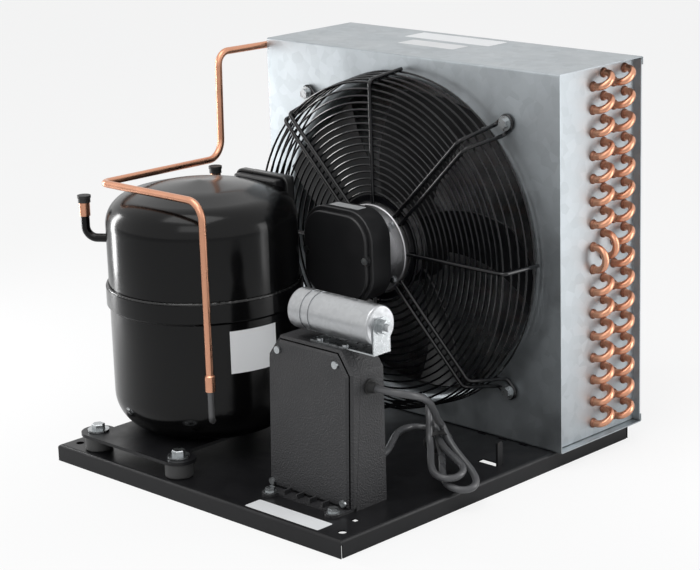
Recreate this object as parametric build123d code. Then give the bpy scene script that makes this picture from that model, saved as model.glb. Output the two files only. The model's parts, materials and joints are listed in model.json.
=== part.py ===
from build123d import *
import os
from math import acos, ceil, cos, pi, radians, sin, sqrt, tan

# Refrigeration condensing unit, in millimetres.
# X runs along the fan side, +Y is the way the air goes, +Z is up.
# The origin is the centre of the base tray, in the plane that it stands on.

# ---- base tray: a folded steel pan, open side down
TRAY_X = 443.0
TRAY_Y = 460.0
TRAY_H = 19.0
TRAY_T = 1.5
TRAY_FOLD = 4.0
CORNER_SLIT = 2.0
FOOT_HOLE_R = 4.5
FOOT_HOLE_IN_X = 16.0
FOOT_HOLE_IN_Y = 19.0
DRAIN_HOLE = 7.0
TAB_W = 8.0
TAB_H = 27.0
TAB_Y = 32.0
TAB_IN = 20.0
TAB_FILLET = 3.0
DRAIN_IN = 50.0
SLOTS = 3
SLOT_X = 120.0
SLOT_PITCH = 30.0
SLOT_Y = 97.0
SLOT_L = 12.0
SLOT_W = 3.0

# ---- condenser cowl: front panel, top and bottom folded from one sheet
COWL_W = 437.0
COWL_H = 414.0
COWL_D = 142.0
COWL_T = 1.2
COWL_FOLD = 2.0
COWL_LIP = 9.0
COWL_X = 13.0
COWL_Y = 100.0
COWL_SCREW_IN = 44.0
COWL_SCREW_BACK = 44.0

# ---- coil: four staggered rows of tubes in a block of fins
ROWS = 4
TUBES = 16
TUBE_PITCH = 25.0
ROW_PITCH = 18.0
TUBE_R = 4.0
FIRST_ROW_IN = 67.5
FIRST_TUBE_UP = 15.9
END_SHEET_IN = 10.0
END_SHEET_T = 1.5
END_FLANGE = 9.0
END_FOLD = 1.5
FRONT_FLANGE = 14.0
BEND_STUB = 5.0
COLLAR_R = 5.2
COLLAR_H = 2.0
BEND_FACETS = 8
CROSS_BEND = 8
LIQUID_STUB_L = 56.0
LIQUID_OUT = 2.5
STOP_BEAD_R = 5.0
STOP_BEAD_IN = 40.05

# ---- fan: external rotor motor on the axis of the orifice
FAN_X = 11.5
FAN_Z = 226.0
BLADE_R = 173.0
ORIFICE_R = BLADE_R + 6.0
ORIFICE_ROLL = 10.0
ORIFICE_DEPTH = 26.0
BLADE_T = 1.6
BLADES = 5
BLADE_FRONT = 32.0
HUB_R = 49.0
FAN_PHASE = 11.0
HUB_L = 38.0
ROTOR_R = 46.0
ROTOR_WALL = 3.0
ROTOR_L = 58.0
ROTOR_GAP = 4.0
SHAFT_R = 5.0
BEARING_GAP = 0.05
BEARING_R = 11.0
CORE_R = 38.0
CORE_L = 30.0
FLANGE_R = 38.0
FLANGE_L = 28.0
END_SHIELD_R = 50.0
END_SHIELD_L = 8.0
HUB_SCREW_IN = 43.5

# ---- wire guard
GUARD_OUT = 51.0
GUARD_SCREW_R = ORIFICE_R + 32.0
GUARD_R = GUARD_SCREW_R - 27.0
GUARD_FOOT_R = GUARD_R + 5.0
FACE_RINGS = 17
FACE_RING_IN = 62.0
SKIRT_RINGS = 4
WIRE = 2.4
ARM = 4.6
ARM_SPREAD = 11.0
HUB_RING_IN = 52.0
HUB_RING_OUT = 59.0
HUB_RING_T = 2.5

# ---- motor terminal box
MOTOR_BOX = 104.0
MOTOR_BOX_UP = 4.0
MOTOR_BOX_L = 36.0
MOTOR_LID_L = 12.0
MOTOR_CROWN_L = 5.0
MOTOR_CROWN_IN = 5.0
MOTOR_BOX_FILLET = 34.0
LID_SCREW_REACH = 44.0
BOX_WALL = 2.5

# ---- compressor
COMP_X = -108.0
COMP_Y = -100.0
SHELL_R = 105.0
SHELL_T = 3.0
SHELL_BASE_Z = 39.5
SHELL_TOP_Z = 314.0
SEAM_Z = 184.0
RIM_H = 17.0
RIM_T = 3.4
SHELL_GAP = 0.1
SHOULDER_R = 32.0
BASE_FILLET = 42.0
FOOT_X = 134.0
FOOT_Y = 216.0
FOOT_T = 3.5
FOOT_PAD_R = 19.0
GROMMET_R = 15.5
GROMMET_BORE = 6.5
BOLT_R = 4.0
HEAD_R = 7.5
HEAD_H = 6.0
WASHER_R = 12.0
WASHER_T = 2.0

# ---- compressor stubs
STUB_R = 4.8
SLEEVE_R = 6.0
CAP_R = 7.2
SUCTION_ANGLE = 213.0
SUCTION_REACH = SHELL_R + 28.0
PROCESS_ANGLE = 130.0
PROCESS_REACH = SHELL_R + 16.0
PROCESS_LIFT = 8.0
STUB_Z = 246.0
SLEEVE_Z = 271.0
SLEEVE_L = 15.0
CAP_L = 8.0

# ---- terminal cover on the shoulder of the compressor
TERMINAL_X = -97.0
TERMINAL_Y = -15.0
TERMINAL_Z = 305.0
TERMINAL_W = 66.0
TERMINAL_D = 34.0
TERMINAL_H = 38.0
TERMINAL_T = 2.2
CLIP_T = 3.4
CLIP_W = 9.0

# ---- compressor works
CORE_OUT_R = 66.0
CORE_IN_R = 33.0
MOTOR_Z = 74.0
MOTOR_L = 60.0
AIR_GAP = 0.6
CRANK_R = 9.0
BLOCK_Z = 150.0
BLOCK_L = 46.0
BORE_R = 17.0
PISTON_L = 26.0
CRANK_THROW = 8.0

# ---- electrical box
EBOX_X0 = 57.0
EBOX_X1 = 178.0
EBOX_Y0 = -172.0
EBOX_Y1 = -118.0
EBOX_TOP = 186.0
EBOX_CHAMFER_X = 17.0
EBOX_CHAMFER_Z = 23.0
EBOX_LEAN = 6.0
EBOX_BEVEL = 6.0
FOOT_FLANGE_X0 = 66.0
FOOT_FLANGE_X1 = 176.0
FOOT_FLANGE_Y = 20.0
FOOT_FLANGE_T = 3.0
FOOT_RIB = 2.5
LUG_R = 9.0
FOOT_SCREW_R = 2.5
SEAM_TOP_IN = 24.0
SEAM_FOOT_IN = 9.0
SEAM_GAP = 0.3
GLAND_Z = 154.0

# ---- run capacitor
CAN_R = 21.0
CAN_L = 112.0
CAN_X = 88.0
CAN_Y = -143.0
BRACKET_T = 1.5
STUD_R = 4.0

# ---- small screws
SCREW_R = 3.0
SCREW_HEAD_R = 7.0
SCREW_HEAD_H = 4.0
SMALL_R = 2.0
SMALL_HEAD_R = 4.0
SMALL_HEAD_H = 2.2

# ---- pipes and cords
PIPE_R = 4.0
CORD_R = 3.8
HANK_A = (161.0, -20.0, 49.0)
HANK_B = (226.0, -61.0, 30.0)

TOP = TRAY_H
COWL_TOP = TOP + COWL_H
COWL_X0 = COWL_X - COWL_W / 2
COWL_X1 = COWL_X + COWL_W / 2
COWL_Y1 = COWL_Y + COWL_D
SHEET_X0 = COWL_X0 + END_SHEET_IN
SHEET_X1 = COWL_X1 - END_SHEET_IN
FIRST_ROW_Y = COWL_Y + FIRST_ROW_IN
FIRST_TUBE_Z = TOP + FIRST_TUBE_UP
GUARD_Y = COWL_Y - GUARD_OUT
PLATE_Z = SHELL_BASE_Z - FOOT_T


# ---- helpers ----------------------------------------------------------

def rod_x(radius, x0, x1, y, z):
    """A round bar along X."""
    return Pos((x0 + x1) / 2, y, z) * Rot(0, 90, 0) * Cylinder(radius, x1 - x0)


def rod_y(radius, y0, y1, x, z):
    """A round bar along Y."""
    return Pos(x, (y0 + y1) / 2, z) * Rot(90, 0, 0) * Cylinder(radius, y1 - y0)


def rod_z(radius, z0, z1, x=0.0, y=0.0):
    """A round bar along Z."""
    return Pos(x, y, (z0 + z1) / 2) * Cylinder(radius, z1 - z0)


def block(x0, x1, y0, y1, z0, z1):
    """A box between two corners."""
    return Pos((x0 + x1) / 2, (y0 + y1) / 2, (z0 + z1) / 2) * Box(x1 - x0, y1 - y0, z1 - z0)


def tube_on(path, radius):
    """A round bar swept along a path of straight runs and arcs."""
    profile = Plane(origin=path @ 0, z_dir=path % 0) * Circle(radius)
    return sweep(profile, path=path)


def bent_pipe(points, radii, radius):
    """A pipe with a bend of its own radius at each corner."""
    return tube_on(FilletPolyline(*points, radius=radii), radius)


def hexagon_y(radius, y0, y1, x, z):
    """A hexagon head along Y."""
    face = Plane(origin=(x, y0, z), z_dir=(0, 1, 0)) * RegularPolygon(radius, 6)
    return extrude(face, y1 - y0)


def hexagon_z(radius, z0, z1, x, y):
    """A hexagon head along Z."""
    return Pos(x, y, z0) * extrude(RegularPolygon(radius, 6), z1 - z0)


def save(name, solids):
    """Writes one node as a STEP file, with each piece as a solid of its own."""
    pieces = []
    for shape in solids:
        pieces.extend(shape.solids())
    node = pieces[0] if len(pieces) == 1 else Compound(children=pieces)
    node.label = name
    export_step(node, "parts/" + name + ".step")


# ---- base tray --------------------------------------------------------

def base_tray():
    outer = block(-TRAY_X / 2, TRAY_X / 2, -TRAY_Y / 2, TRAY_Y / 2, 0, TRAY_H)
    outer = fillet(outer.faces().sort_by(Axis.Z)[-1].edges(), TRAY_FOLD)
    half_x = TRAY_X / 2 - TRAY_T
    half_y = TRAY_Y / 2 - TRAY_T
    inner = block(-half_x, half_x, -half_y, half_y, -1, TRAY_H - TRAY_T)
    inner = fillet(inner.faces().sort_by(Axis.Z)[-1].edges(), TRAY_FOLD - TRAY_T)
    tray = outer - inner
    for sx in (-1, 1):
        for sy in (-1, 1):
            x = sx * (TRAY_X / 2 - TRAY_T / 2)
            y = sy * (TRAY_Y / 2 - TRAY_T / 2 - CORNER_SLIT / 2)
            slit_z = TRAY_H - TRAY_FOLD - 1
            reach = 2 * TRAY_T
            tray -= block(x - reach, x + reach, y - CORNER_SLIT / 2, y + CORNER_SLIT / 2, -1, slit_z)
            hole_x = sx * (TRAY_X / 2 - FOOT_HOLE_IN_X)
            hole_y = sy * (TRAY_Y / 2 - FOOT_HOLE_IN_Y)
            tray -= rod_z(FOOT_HOLE_R, TRAY_H - 3, TRAY_H + 1, hole_x, hole_y)
    for x, y in compressor_feet() + cowl_screw_places():
        tray -= rod_z(BOLT_R + BEARING_GAP, TRAY_H - 3, TRAY_H + 1, x, y)
    for x, y in ebox_foot_screw_places():
        tray -= rod_z(FOOT_SCREW_R + BEARING_GAP, TRAY_H - 3, TRAY_H + 1, x, y)
    drain_x = TRAY_X / 2 - 2 * FOOT_HOLE_IN_X + DRAIN_HOLE / 2
    tray -= Pos(drain_x, -TRAY_Y / 2 + DRAIN_IN, TRAY_H) * Box(DRAIN_HOLE, DRAIN_HOLE, 2 * TRAY_T + 1)
    for index in range(SLOTS):
        x = SLOT_X + index * SLOT_PITCH
        tray -= Pos(x, SLOT_Y, TRAY_H) * Box(SLOT_L, SLOT_W, 2 * TRAY_T + 1)
    tab_x = TRAY_X / 2 - TAB_IN
    half = TAB_W / 2
    tray -= block(tab_x - TAB_H, tab_x - 1, TAB_Y - half - 1, TAB_Y + half + 1, TRAY_H - 3, TRAY_H + 1)
    tab = block(tab_x - 1.2, tab_x + TRAY_T, TAB_Y - half, TAB_Y + half, TRAY_H - TRAY_T, TRAY_H + TAB_H)
    tray += fillet(tab.edges().filter_by(Axis.X).group_by(Axis.Z)[-1], TAB_FILLET)
    return tray


def compressor_feet():
    return [
        (COMP_X + sx * FOOT_X / 2, COMP_Y + sy * FOOT_Y / 2)
        for sx in (-1, 1)
        for sy in (-1, 1)
    ]


# ---- condenser --------------------------------------------------------

def guard_screw_places():
    reach = GUARD_SCREW_R / sqrt(2)
    return [(FAN_X + sx * reach, FAN_Z + sz * reach) for sx in (-1, 1) for sz in (-1, 1)]


def orifice_ring():
    """The pressed inlet: a rolled lip that runs on into a short straight ring."""
    lip = ORIFICE_ROLL
    inner = lip - COWL_T
    middle = ORIFICE_R + lip
    turn = 1 / sqrt(2)
    outline = Polyline((middle, 0), (middle, COWL_T))
    outline += ThreePointArc(
        (middle, COWL_T),
        (middle - inner * turn, lip - inner * turn),
        (middle - inner, lip),
    )
    outline += Polyline(
        (middle - inner, lip),
        (middle - inner, ORIFICE_DEPTH),
        (ORIFICE_R, ORIFICE_DEPTH),
        (ORIFICE_R, lip),
    )
    outline += ThreePointArc(
        (ORIFICE_R, lip),
        (middle - lip * turn, lip - lip * turn),
        (middle, 0),
    )
    ring = revolve(make_face(outline), axis=Axis.Y)
    return Pos(FAN_X, COWL_Y, FAN_Z) * ring


def fan_cowl():
    """Front panel, top, bottom and rear lips, folded from one sheet."""
    outer = block(COWL_X0, COWL_X1, COWL_Y, COWL_Y1, TOP, COWL_TOP)
    outer = fillet(outer.edges().filter_by(Axis.X), COWL_FOLD)
    t = COWL_T
    inner = block(COWL_X0 - 1, COWL_X1 + 1, COWL_Y + t, COWL_Y1 - t, TOP + t, COWL_TOP - t)
    inner = fillet(inner.edges().filter_by(Axis.X), COWL_FOLD - t)
    lip = COWL_LIP
    back = block(COWL_X0 - 1, COWL_X1 + 1, COWL_Y1 - 2 * t, COWL_Y1 + 1, TOP + lip, COWL_TOP - lip)
    cowl = outer - inner - back
    cowl -= rod_y(ORIFICE_R + ORIFICE_ROLL, COWL_Y - 1, COWL_Y + t + 1, FAN_X, FAN_Z)
    cowl += orifice_ring()
    for x, z in guard_screw_places():
        cowl -= rod_y(SCREW_R + BEARING_GAP, COWL_Y - 1, COWL_Y + t + 1, x, z)
    for x, y in cowl_screw_places():
        cowl -= rod_z(BOLT_R + BEARING_GAP, TOP - 1, TOP + t + 1, x, y)
    return cowl


def cowl_screw_places():
    """Screws through the bottom of the cowl into the tray."""
    y = COWL_Y + COWL_SCREW_BACK
    return [(COWL_X0 + COWL_SCREW_IN, y), (COWL_X1 - COWL_SCREW_IN, y)]


def end_sheet(side):
    """A tube sheet with its front flange turned in and its rear flange turned out."""
    x = SHEET_X1 if side > 0 else SHEET_X0
    t = END_SHEET_T
    y0 = COWL_Y + COWL_T
    y1 = COWL_Y1 - COWL_T
    z0 = TOP + COWL_FOLD
    z1 = COWL_TOP - COWL_FOLD
    web = block(min(x, x - side * t), max(x, x - side * t), y0, y1, z0, z1)
    reach = x - side * FRONT_FLANGE
    front = block(min(x, reach), max(x, reach), y0, y0 + t, z0, z1)
    reach = x + side * END_FLANGE
    rear = block(min(x - side * t, reach), max(x - side * t, reach), y1 - t, y1, z0, z1)
    sheet = web + front + rear
    orifice_clear = ORIFICE_R + ORIFICE_ROLL + COWL_T
    sheet -= rod_y(orifice_clear, y0 - 1, y0 + t + 1, FAN_X, FAN_Z)
    return sheet


def fin_block():
    x0 = SHEET_X0 + END_SHEET_T
    x1 = SHEET_X1 - END_SHEET_T
    y0 = FIRST_ROW_Y - ROW_PITCH / 2
    return block(x0, x1, y0, y0 + ROWS * ROW_PITCH, TOP + COWL_T, COWL_TOP - COWL_T)


def tube_place(row, tube):
    """Centre of one tube end: odd rows sit half a pitch higher."""
    lift = TUBE_PITCH / 2 if row % 2 else 0.0
    return FIRST_ROW_Y + row * ROW_PITCH, FIRST_TUBE_Z + tube * TUBE_PITCH + lift


def u_bend(side, start, end):
    """A U-bend with a collar on each leg, seated on the tube sheet."""
    x = SHEET_X1 if side > 0 else SHEET_X0
    face_z = Vector(side, 0, 0)
    a = Vector(x, *start)
    b = Vector(x, *end)
    across = b - a
    stub = face_z * BEND_STUB
    crown = a + across / 2 + stub + face_z * (across.length / 2)
    path = Line(a, a + stub) + ThreePointArc(a + stub, crown, b + stub) + Line(b + stub, b)
    profile = Plane(origin=a, z_dir=face_z, x_dir=across) * RegularPolygon(TUBE_R, BEND_FACETS)
    bend = sweep(profile, path=path)
    for foot in (a, b):
        collar = Plane(origin=foot, z_dir=face_z) * RegularPolygon(COLLAR_R, BEND_FACETS)
        bend += extrude(collar, COLLAR_H)
    return bend


def return_bends():
    """Two columns of return bends, with one bend down and one across at the circuit change."""
    bends = []
    for pair in (0, 2):
        for tube in range(TUBES):
            if pair == 0 and tube in (CROSS_BEND, CROSS_BEND - 1):
                continue
            bends.append(u_bend(1, tube_place(pair, tube), tube_place(pair + 1, tube)))
    low = CROSS_BEND - 1
    bends.append(u_bend(1, tube_place(0, low), tube_place(0, CROSS_BEND)))
    bends.append(u_bend(1, tube_place(1, low), tube_place(1, CROSS_BEND)))
    return bends


def hairpin_bends():
    """The bends at the far end, which carry each circuit up to its next tube."""
    bends = []
    for pair in (0, 2):
        for tube in range(TUBES - 1):
            bends.append(u_bend(-1, tube_place(pair + 1, tube), tube_place(pair, tube + 1)))
    return bends + [inlet_bend(), outlet_bend()]


def inlet_bend():
    """Shares the hot gas between the tops of the two columns."""
    return u_bend(-1, tube_place(1, TUBES - 1), tube_place(3, TUBES - 1))


def outlet_bend():
    """Gathers the liquid from the feet of the two columns."""
    return u_bend(-1, tube_place(0, 0), tube_place(2, 0))


def header_x():
    """The line beside the cowl where the inlet and outlet pipes run."""
    return COWL_X0 - PIPE_R - 1.5


def discharge_path():
    """Route of the discharge pipe, from the compressor joint to the inlet bend."""
    y, z = tube_place(1, TUBES - 1)
    joint_x, joint_y, joint_z = discharge_joint()
    side_x = header_x()
    over_z = SHELL_TOP_Z
    points = [
        (joint_x, joint_y, joint_z),
        (joint_x, joint_y, over_z + 1),
        (COMP_X - 72, joint_y, over_z),
        (side_x + 4, COWL_Y - 78, over_z - 10),
        (side_x, COWL_Y - 72, z + 3),
        (side_x, y + ROW_PITCH / 2, z),
    ]
    return points, [20, 12, 22, 15]


def discharge_joint():
    """Foot of the belled joint where the copper pipe takes over from the steel stub."""
    reach = (SHELL_R + 13) / sqrt(2)
    return COMP_X + reach + 5.6, COMP_Y - reach + 5.6, 110.0


def discharge_pipe():
    points, radii = discharge_path()
    pipe = bent_pipe(points, radii, PIPE_R) - inlet_bend()
    pipe = pipe.solids().sort_by(SortBy.VOLUME)[-1]
    x, y, z = discharge_joint()
    bell = rod_z(PIPE_R + 1.6, z, z + 18, x, y)
    bell = chamfer(bell.edges().group_by(Axis.Z)[-1], 1.2)
    return pipe + bell


def discharge_stub():
    """Steel stub that leaves the lower shell near its foot and turns up."""
    x, y, z = discharge_joint()
    turn = 1 / sqrt(2)
    start = Vector(COMP_X + (SHELL_R - 2) * turn + 5.6, COMP_Y - (SHELL_R - 2) * turn + 5.6, 72)
    knee = Vector(x, y, 78)
    path = FilletPolyline(start, knee, (x, y, z), radius=8)
    return tube_on(path, PIPE_R - 0.5) - shell_volume()


def liquid_stub():
    """Outlet of the coil, brazed into the outlet bend, with a bead that stops the liquid line."""
    y, z = tube_place(0, 0)
    x = header_x() - LIQUID_OUT
    end = y - LIQUID_STUB_L
    stub = rod_y(TUBE_R, end, y + ROW_PITCH / 2, x, z) - outlet_bend()
    stub = stub.solids().sort_by(SortBy.VOLUME)[-1]
    return stub + rod_y(STOP_BEAD_R, end + STOP_BEAD_IN, end + STOP_BEAD_IN + 2, x, z)


def cowl_screws():
    """Hexagon screws that hold the cowl to the tray."""
    screws = []
    for x, y in cowl_screw_places():
        head = hexagon_z(HEAD_R, TOP + COWL_T, TOP + COWL_T + HEAD_H, x, y)
        screws.append(head + rod_z(BOLT_R, TRAY_H - 10, TOP + COWL_T, x, y))
    return screws


# ---- fan --------------------------------------------------------------

HUB_FACE_Y = GUARD_Y - WIRE / 2
ROTOR_Y = HUB_FACE_Y + HUB_RING_T + ROTOR_GAP
MOTOR_BOX_Y1 = HUB_FACE_Y - FLANGE_L
MOTOR_BOX_Y0 = MOTOR_BOX_Y1 - MOTOR_BOX_L


def motor_stator():
    """Aluminium flange, bearing tube and wound core; the tube is bored for the shaft."""
    back = ROTOR_Y + ROTOR_L - ROTOR_WALL - 6
    body = rod_y(FLANGE_R, HUB_FACE_Y - FLANGE_L, HUB_FACE_Y, FAN_X, FAN_Z)
    shield_y = HUB_FACE_Y + HUB_RING_T
    shield = rod_y(END_SHIELD_R, shield_y - END_SHIELD_L, shield_y, FAN_X, FAN_Z)
    body += fillet(shield.edges().filter_by(GeomType.CIRCLE), 2)
    body += rod_y(BEARING_R, HUB_FACE_Y, back, FAN_X, FAN_Z)
    core_y = ROTOR_Y + 8
    body += rod_y(CORE_R, core_y, core_y + CORE_L, FAN_X, FAN_Z)
    for x, z in hub_screw_places():
        body -= rod_y(SMALL_R + BEARING_GAP, shield_y - END_SHIELD_L - 1, shield_y - 1, x, z)
    return body - rod_y(SHAFT_R + BEARING_GAP, HUB_FACE_Y - 8, back + 1, FAN_X, FAN_Z)


def hub_screw_places():
    reach = HUB_SCREW_IN / sqrt(2)
    return [(FAN_X + sx * reach, FAN_Z + sz * reach) for sx, sz in ((1, 1), (-1, 1), (-1, -1), (1, -1))]


def hub_screws():
    """Screws in the rim of the end shield, one beside each arm of the guard."""
    y = HUB_FACE_Y + HUB_RING_T - END_SHIELD_L
    screws = []
    for x, z in hub_screw_places():
        head = hexagon_y(SMALL_HEAD_R, y - SMALL_HEAD_H, y, x, z)
        screws.append(head + rod_y(SMALL_R, y, y + END_SHIELD_L - 2, x, z))
    return screws


def motor_rotor():
    """Rotor can, closed at the back, with its shaft."""
    y1 = ROTOR_Y + ROTOR_L
    can = rod_y(ROTOR_R, ROTOR_Y, y1, FAN_X, FAN_Z)
    can = fillet(can.edges().filter_by(GeomType.CIRCLE).sort_by(Axis.Y)[-1:], 6)
    can -= rod_y(ROTOR_R - ROTOR_WALL, ROTOR_Y - 1, y1 - ROTOR_WALL, FAN_X, FAN_Z)
    return can + rod_y(SHAFT_R, HUB_FACE_Y - 6, y1 - ROTOR_WALL, FAN_X, FAN_Z)


def blade_section(radius, chord, pitch, sweep_angle):
    """One curved blade section, on a plane square to the blade's radius."""
    half = chord / 2
    camber = chord * 0.09
    lower = ThreePointArc((-half, 0), (0, camber), (half, 0))
    upper = ThreePointArc((-half, BLADE_T), (0, camber + BLADE_T), (half, BLADE_T))
    ends = Line((-half, 0), (-half, BLADE_T)) + Line((half, 0), (half, BLADE_T))
    face = make_face(lower + upper + ends)
    lean = Rot(0, 0, pitch) * face
    plane = Plane(origin=(0, 0, radius), x_dir=(1, 0, 0), z_dir=(0, 0, 1))
    return Rot(0, sweep_angle, 0) * (plane * lean)


def fan_blades():
    """Swept blades, lofted through three sections and trimmed to the tip and hub circles."""
    mid_y = COWL_Y - 2
    sections = [
        blade_section(HUB_R - 6, 56, 38, -6),
        blade_section((HUB_R + BLADE_R) / 2, 84, 28, 0),
        blade_section(BLADE_R + 6, 110, 20, 12),
    ]
    blade = loft(sections)
    keep = Rot(90, 0, 0) * (Cylinder(BLADE_R, 120) - Cylinder(HUB_R, 130))
    blade = blade & keep
    return [
        Pos(FAN_X, mid_y, FAN_Z) * Rot(0, FAN_PHASE + 360 * index / BLADES, 0) * blade
        for index in range(BLADES)
    ]


def fan_hub():
    """Hub ring pressed over the rotor can."""
    y0 = COWL_Y - 2 - HUB_L / 2
    ring = rod_y(HUB_R, y0, y0 + HUB_L, FAN_X, FAN_Z)
    return ring - rod_y(ROTOR_R, y0 - 1, y0 + HUB_L + 1, FAN_X, FAN_Z)


# ---- wire guard -------------------------------------------------------

def wire_ring(radius, y, wire):
    """A ring of wire, faceted finely enough to stay within 0.6 mm of its circle."""
    sides = max(16, ceil(pi / acos(1 - 0.6 / radius)))
    outer = RegularPolygon(radius + wire / 2, sides, major_radius=True)
    inner = RegularPolygon(radius - wire / 2, sides, major_radius=True)
    plane = Plane(origin=(FAN_X, y - wire / 2, FAN_Z), z_dir=(0, 1, 0))
    return extrude(plane * (outer - inner), wire)


def guard_arm(angle):
    """One double arm: two wires from the hub ring, bent back and looped round a screw."""
    arm_y = GUARD_Y - WIRE / 2 - ARM / 2 + 0.3
    foot_y = COWL_Y - ARM / 2
    spread = ARM_SPREAD
    r_in = END_SHIELD_R + 0.3
    loop = SCREW_R + 2.2 + ARM / 2
    r_loop = GUARD_SCREW_R
    points = [
        (r_in, arm_y, -spread / 2),
        (GUARD_R + 2, arm_y, -spread / 2),
        (r_loop - 12, foot_y, -loop),
        (r_loop + loop, foot_y, -loop),
        (r_loop + loop, foot_y, loop),
        (r_loop - 12, foot_y, loop),
        (GUARD_R + 2, arm_y, spread / 2),
        (r_in, arm_y, spread / 2),
    ]
    path = FilletPolyline(*points, radius=[6, 6, loop - 0.4, loop - 0.4, 6, 6])
    profile = Plane(origin=path @ 0, z_dir=path % 0) * RegularPolygon(ARM / 2, 8)
    arm = sweep(profile, path=path)
    return Pos(FAN_X, 0, FAN_Z) * Rot(0, angle, 0) * arm


def guard_spoke(angle):
    """One single wire spoke, bent back over the skirt rings."""
    arm_y = GUARD_Y - WIRE / 2 - ARM / 2 + 0.3
    points = [
        (END_SHIELD_R + 0.3, arm_y, 0),
        (GUARD_R + 3.2, arm_y, 0),
        (GUARD_FOOT_R + 3.2, COWL_Y - ARM / 2 - 1, 0),
    ]
    path = FilletPolyline(*points, radius=[6])
    profile = Plane(origin=path @ 0, z_dir=path % 0) * RegularPolygon(ARM / 2, 8)
    spoke = sweep(profile, path=path)
    return Pos(FAN_X, 0, FAN_Z) * Rot(0, angle, 0) * spoke


def fan_guard():
    """Rings welded behind four double arms and four spokes."""
    guard = []
    step = (GUARD_R - FACE_RING_IN) / (FACE_RINGS - 1)
    for index in range(FACE_RINGS):
        guard.append(wire_ring(FACE_RING_IN + index * step, GUARD_Y, WIRE))
    depth = COWL_Y - 6 - GUARD_Y
    for index in range(1, SKIRT_RINGS + 1):
        share = index / SKIRT_RINGS
        radius = GUARD_R + (GUARD_FOOT_R - GUARD_R) * share + 0.4
        guard.append(wire_ring(radius, GUARD_Y + depth * share, WIRE))
    plate = rod_y(HUB_RING_OUT, HUB_FACE_Y, HUB_FACE_Y + HUB_RING_T, FAN_X, FAN_Z)
    plate -= rod_y(HUB_RING_IN, HUB_FACE_Y - 1, HUB_FACE_Y + HUB_RING_T + 1, FAN_X, FAN_Z)
    arms = [guard_arm(45 + 90 * turn) for turn in range(4)]
    arms += [guard_spoke(90 * turn) for turn in range(4)]
    return guard, plate, arms


def guard_screws():
    screws = []
    for x, z in guard_screw_places():
        y = COWL_Y - ARM
        head = hexagon_y(SCREW_HEAD_R - 1.5, y - 1.5 - SCREW_HEAD_H, y - 1.5, x, z)
        head += rod_y(SCREW_HEAD_R + 1.2, y - 1.5, y, x, z)
        screws.append(head + rod_y(SCREW_R, y, COWL_Y + COWL_T + 8, x, z))
    return screws


# ---- motor terminal box -----------------------------------------------

def motor_box_solid(y0, y1, inset):
    side = MOTOR_BOX - 2 * inset
    plane = Plane(origin=(FAN_X, y0, FAN_Z + MOTOR_BOX_UP), z_dir=(0, 1, 0))
    return extrude(plane * RectangleRounded(side, side, MOTOR_BOX_FILLET - inset), y1 - y0)


def motor_box_base():
    y0 = MOTOR_BOX_Y0 + MOTOR_LID_L
    base = motor_box_solid(y0, MOTOR_BOX_Y1, 1)
    base = fillet(base.faces().sort_by(Axis.Y)[-1].edges(), 2.5)
    base -= motor_box_solid(y0 - 1, MOTOR_BOX_Y1 - BOX_WALL, 1 + BOX_WALL)
    for x, z in motor_lid_screw_places():
        boss = rod_y(SMALL_R + 2, y0, MOTOR_BOX_Y1 - 1, x, z)
        base += boss - rod_y(SMALL_R + BEARING_GAP, y0 - 1, y0 + 12, x, z)
    return base


def motor_box_lid():
    """Lid with a raised crown inside a stepped, rounded rim."""
    y0 = MOTOR_BOX_Y0
    y1 = y0 + MOTOR_LID_L
    step = y0 + MOTOR_CROWN_L
    rim = motor_box_solid(step, y1, 0)
    rim = fillet(rim.faces().sort_by(Axis.Y)[0].edges(), 1.5)
    crown = motor_box_solid(y0, step, MOTOR_CROWN_IN)
    crown = fillet(crown.faces().sort_by(Axis.Y)[0].edges(), 2)
    lid = rim + crown
    lid -= motor_box_solid(y0 + BOX_WALL, y1 + 1, MOTOR_CROWN_IN + BOX_WALL)
    for x, z in motor_lid_screw_places():
        lid += rod_y(SMALL_HEAD_R + 2, y0 + 1, y1, x, z)
        lid -= rod_y(SMALL_HEAD_R + 0.6, y0 - 1, y0 + SMALL_HEAD_H, x, z)
        lid -= rod_y(SMALL_R + BEARING_GAP, y0 - 1, y1 + 1, x, z)
    return lid


def motor_lid_screw_places():
    z = FAN_Z + MOTOR_BOX_UP
    return [(FAN_X - LID_SCREW_REACH, z), (FAN_X + LID_SCREW_REACH, z)]


def motor_lid_screws():
    y = MOTOR_BOX_Y0 + SMALL_HEAD_H
    return [
        rod_y(SMALL_HEAD_R, y - SMALL_HEAD_H, y, x, z) + rod_y(SMALL_R, y, y + 20, x, z)
        for x, z in motor_lid_screw_places()
    ]


def motor_terminal_block():
    y1 = MOTOR_BOX_Y1 - BOX_WALL
    return block(FAN_X - 26, FAN_X + 26, y1 - 14, y1, FAN_Z - 9, FAN_Z + 9)


# ---- compressor -------------------------------------------------------

def shell_profile(inset):
    """Half outline of the closed shell, inset from its outer face."""
    r = SHELL_R - inset
    z0 = SHELL_BASE_Z + inset
    z1 = SHELL_TOP_Z - inset
    wall = FilletPolyline(
        (0, z0),
        (r, z0 + 0.01),
        (r, z1 - 20),
        (r * 0.48, z1 - 6.5),
        (0, z1 - 0.5),
        radius=[BASE_FILLET - inset, SHOULDER_R - inset, 120],
    )
    return make_face(wall + Line((0, z1 - 0.5), (0, z0)))


def shell_volume(inset=0.0):
    face = Plane.XZ * shell_profile(inset)
    return Pos(COMP_X, COMP_Y, 0) * revolve(face, axis=Axis.Z)


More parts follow.
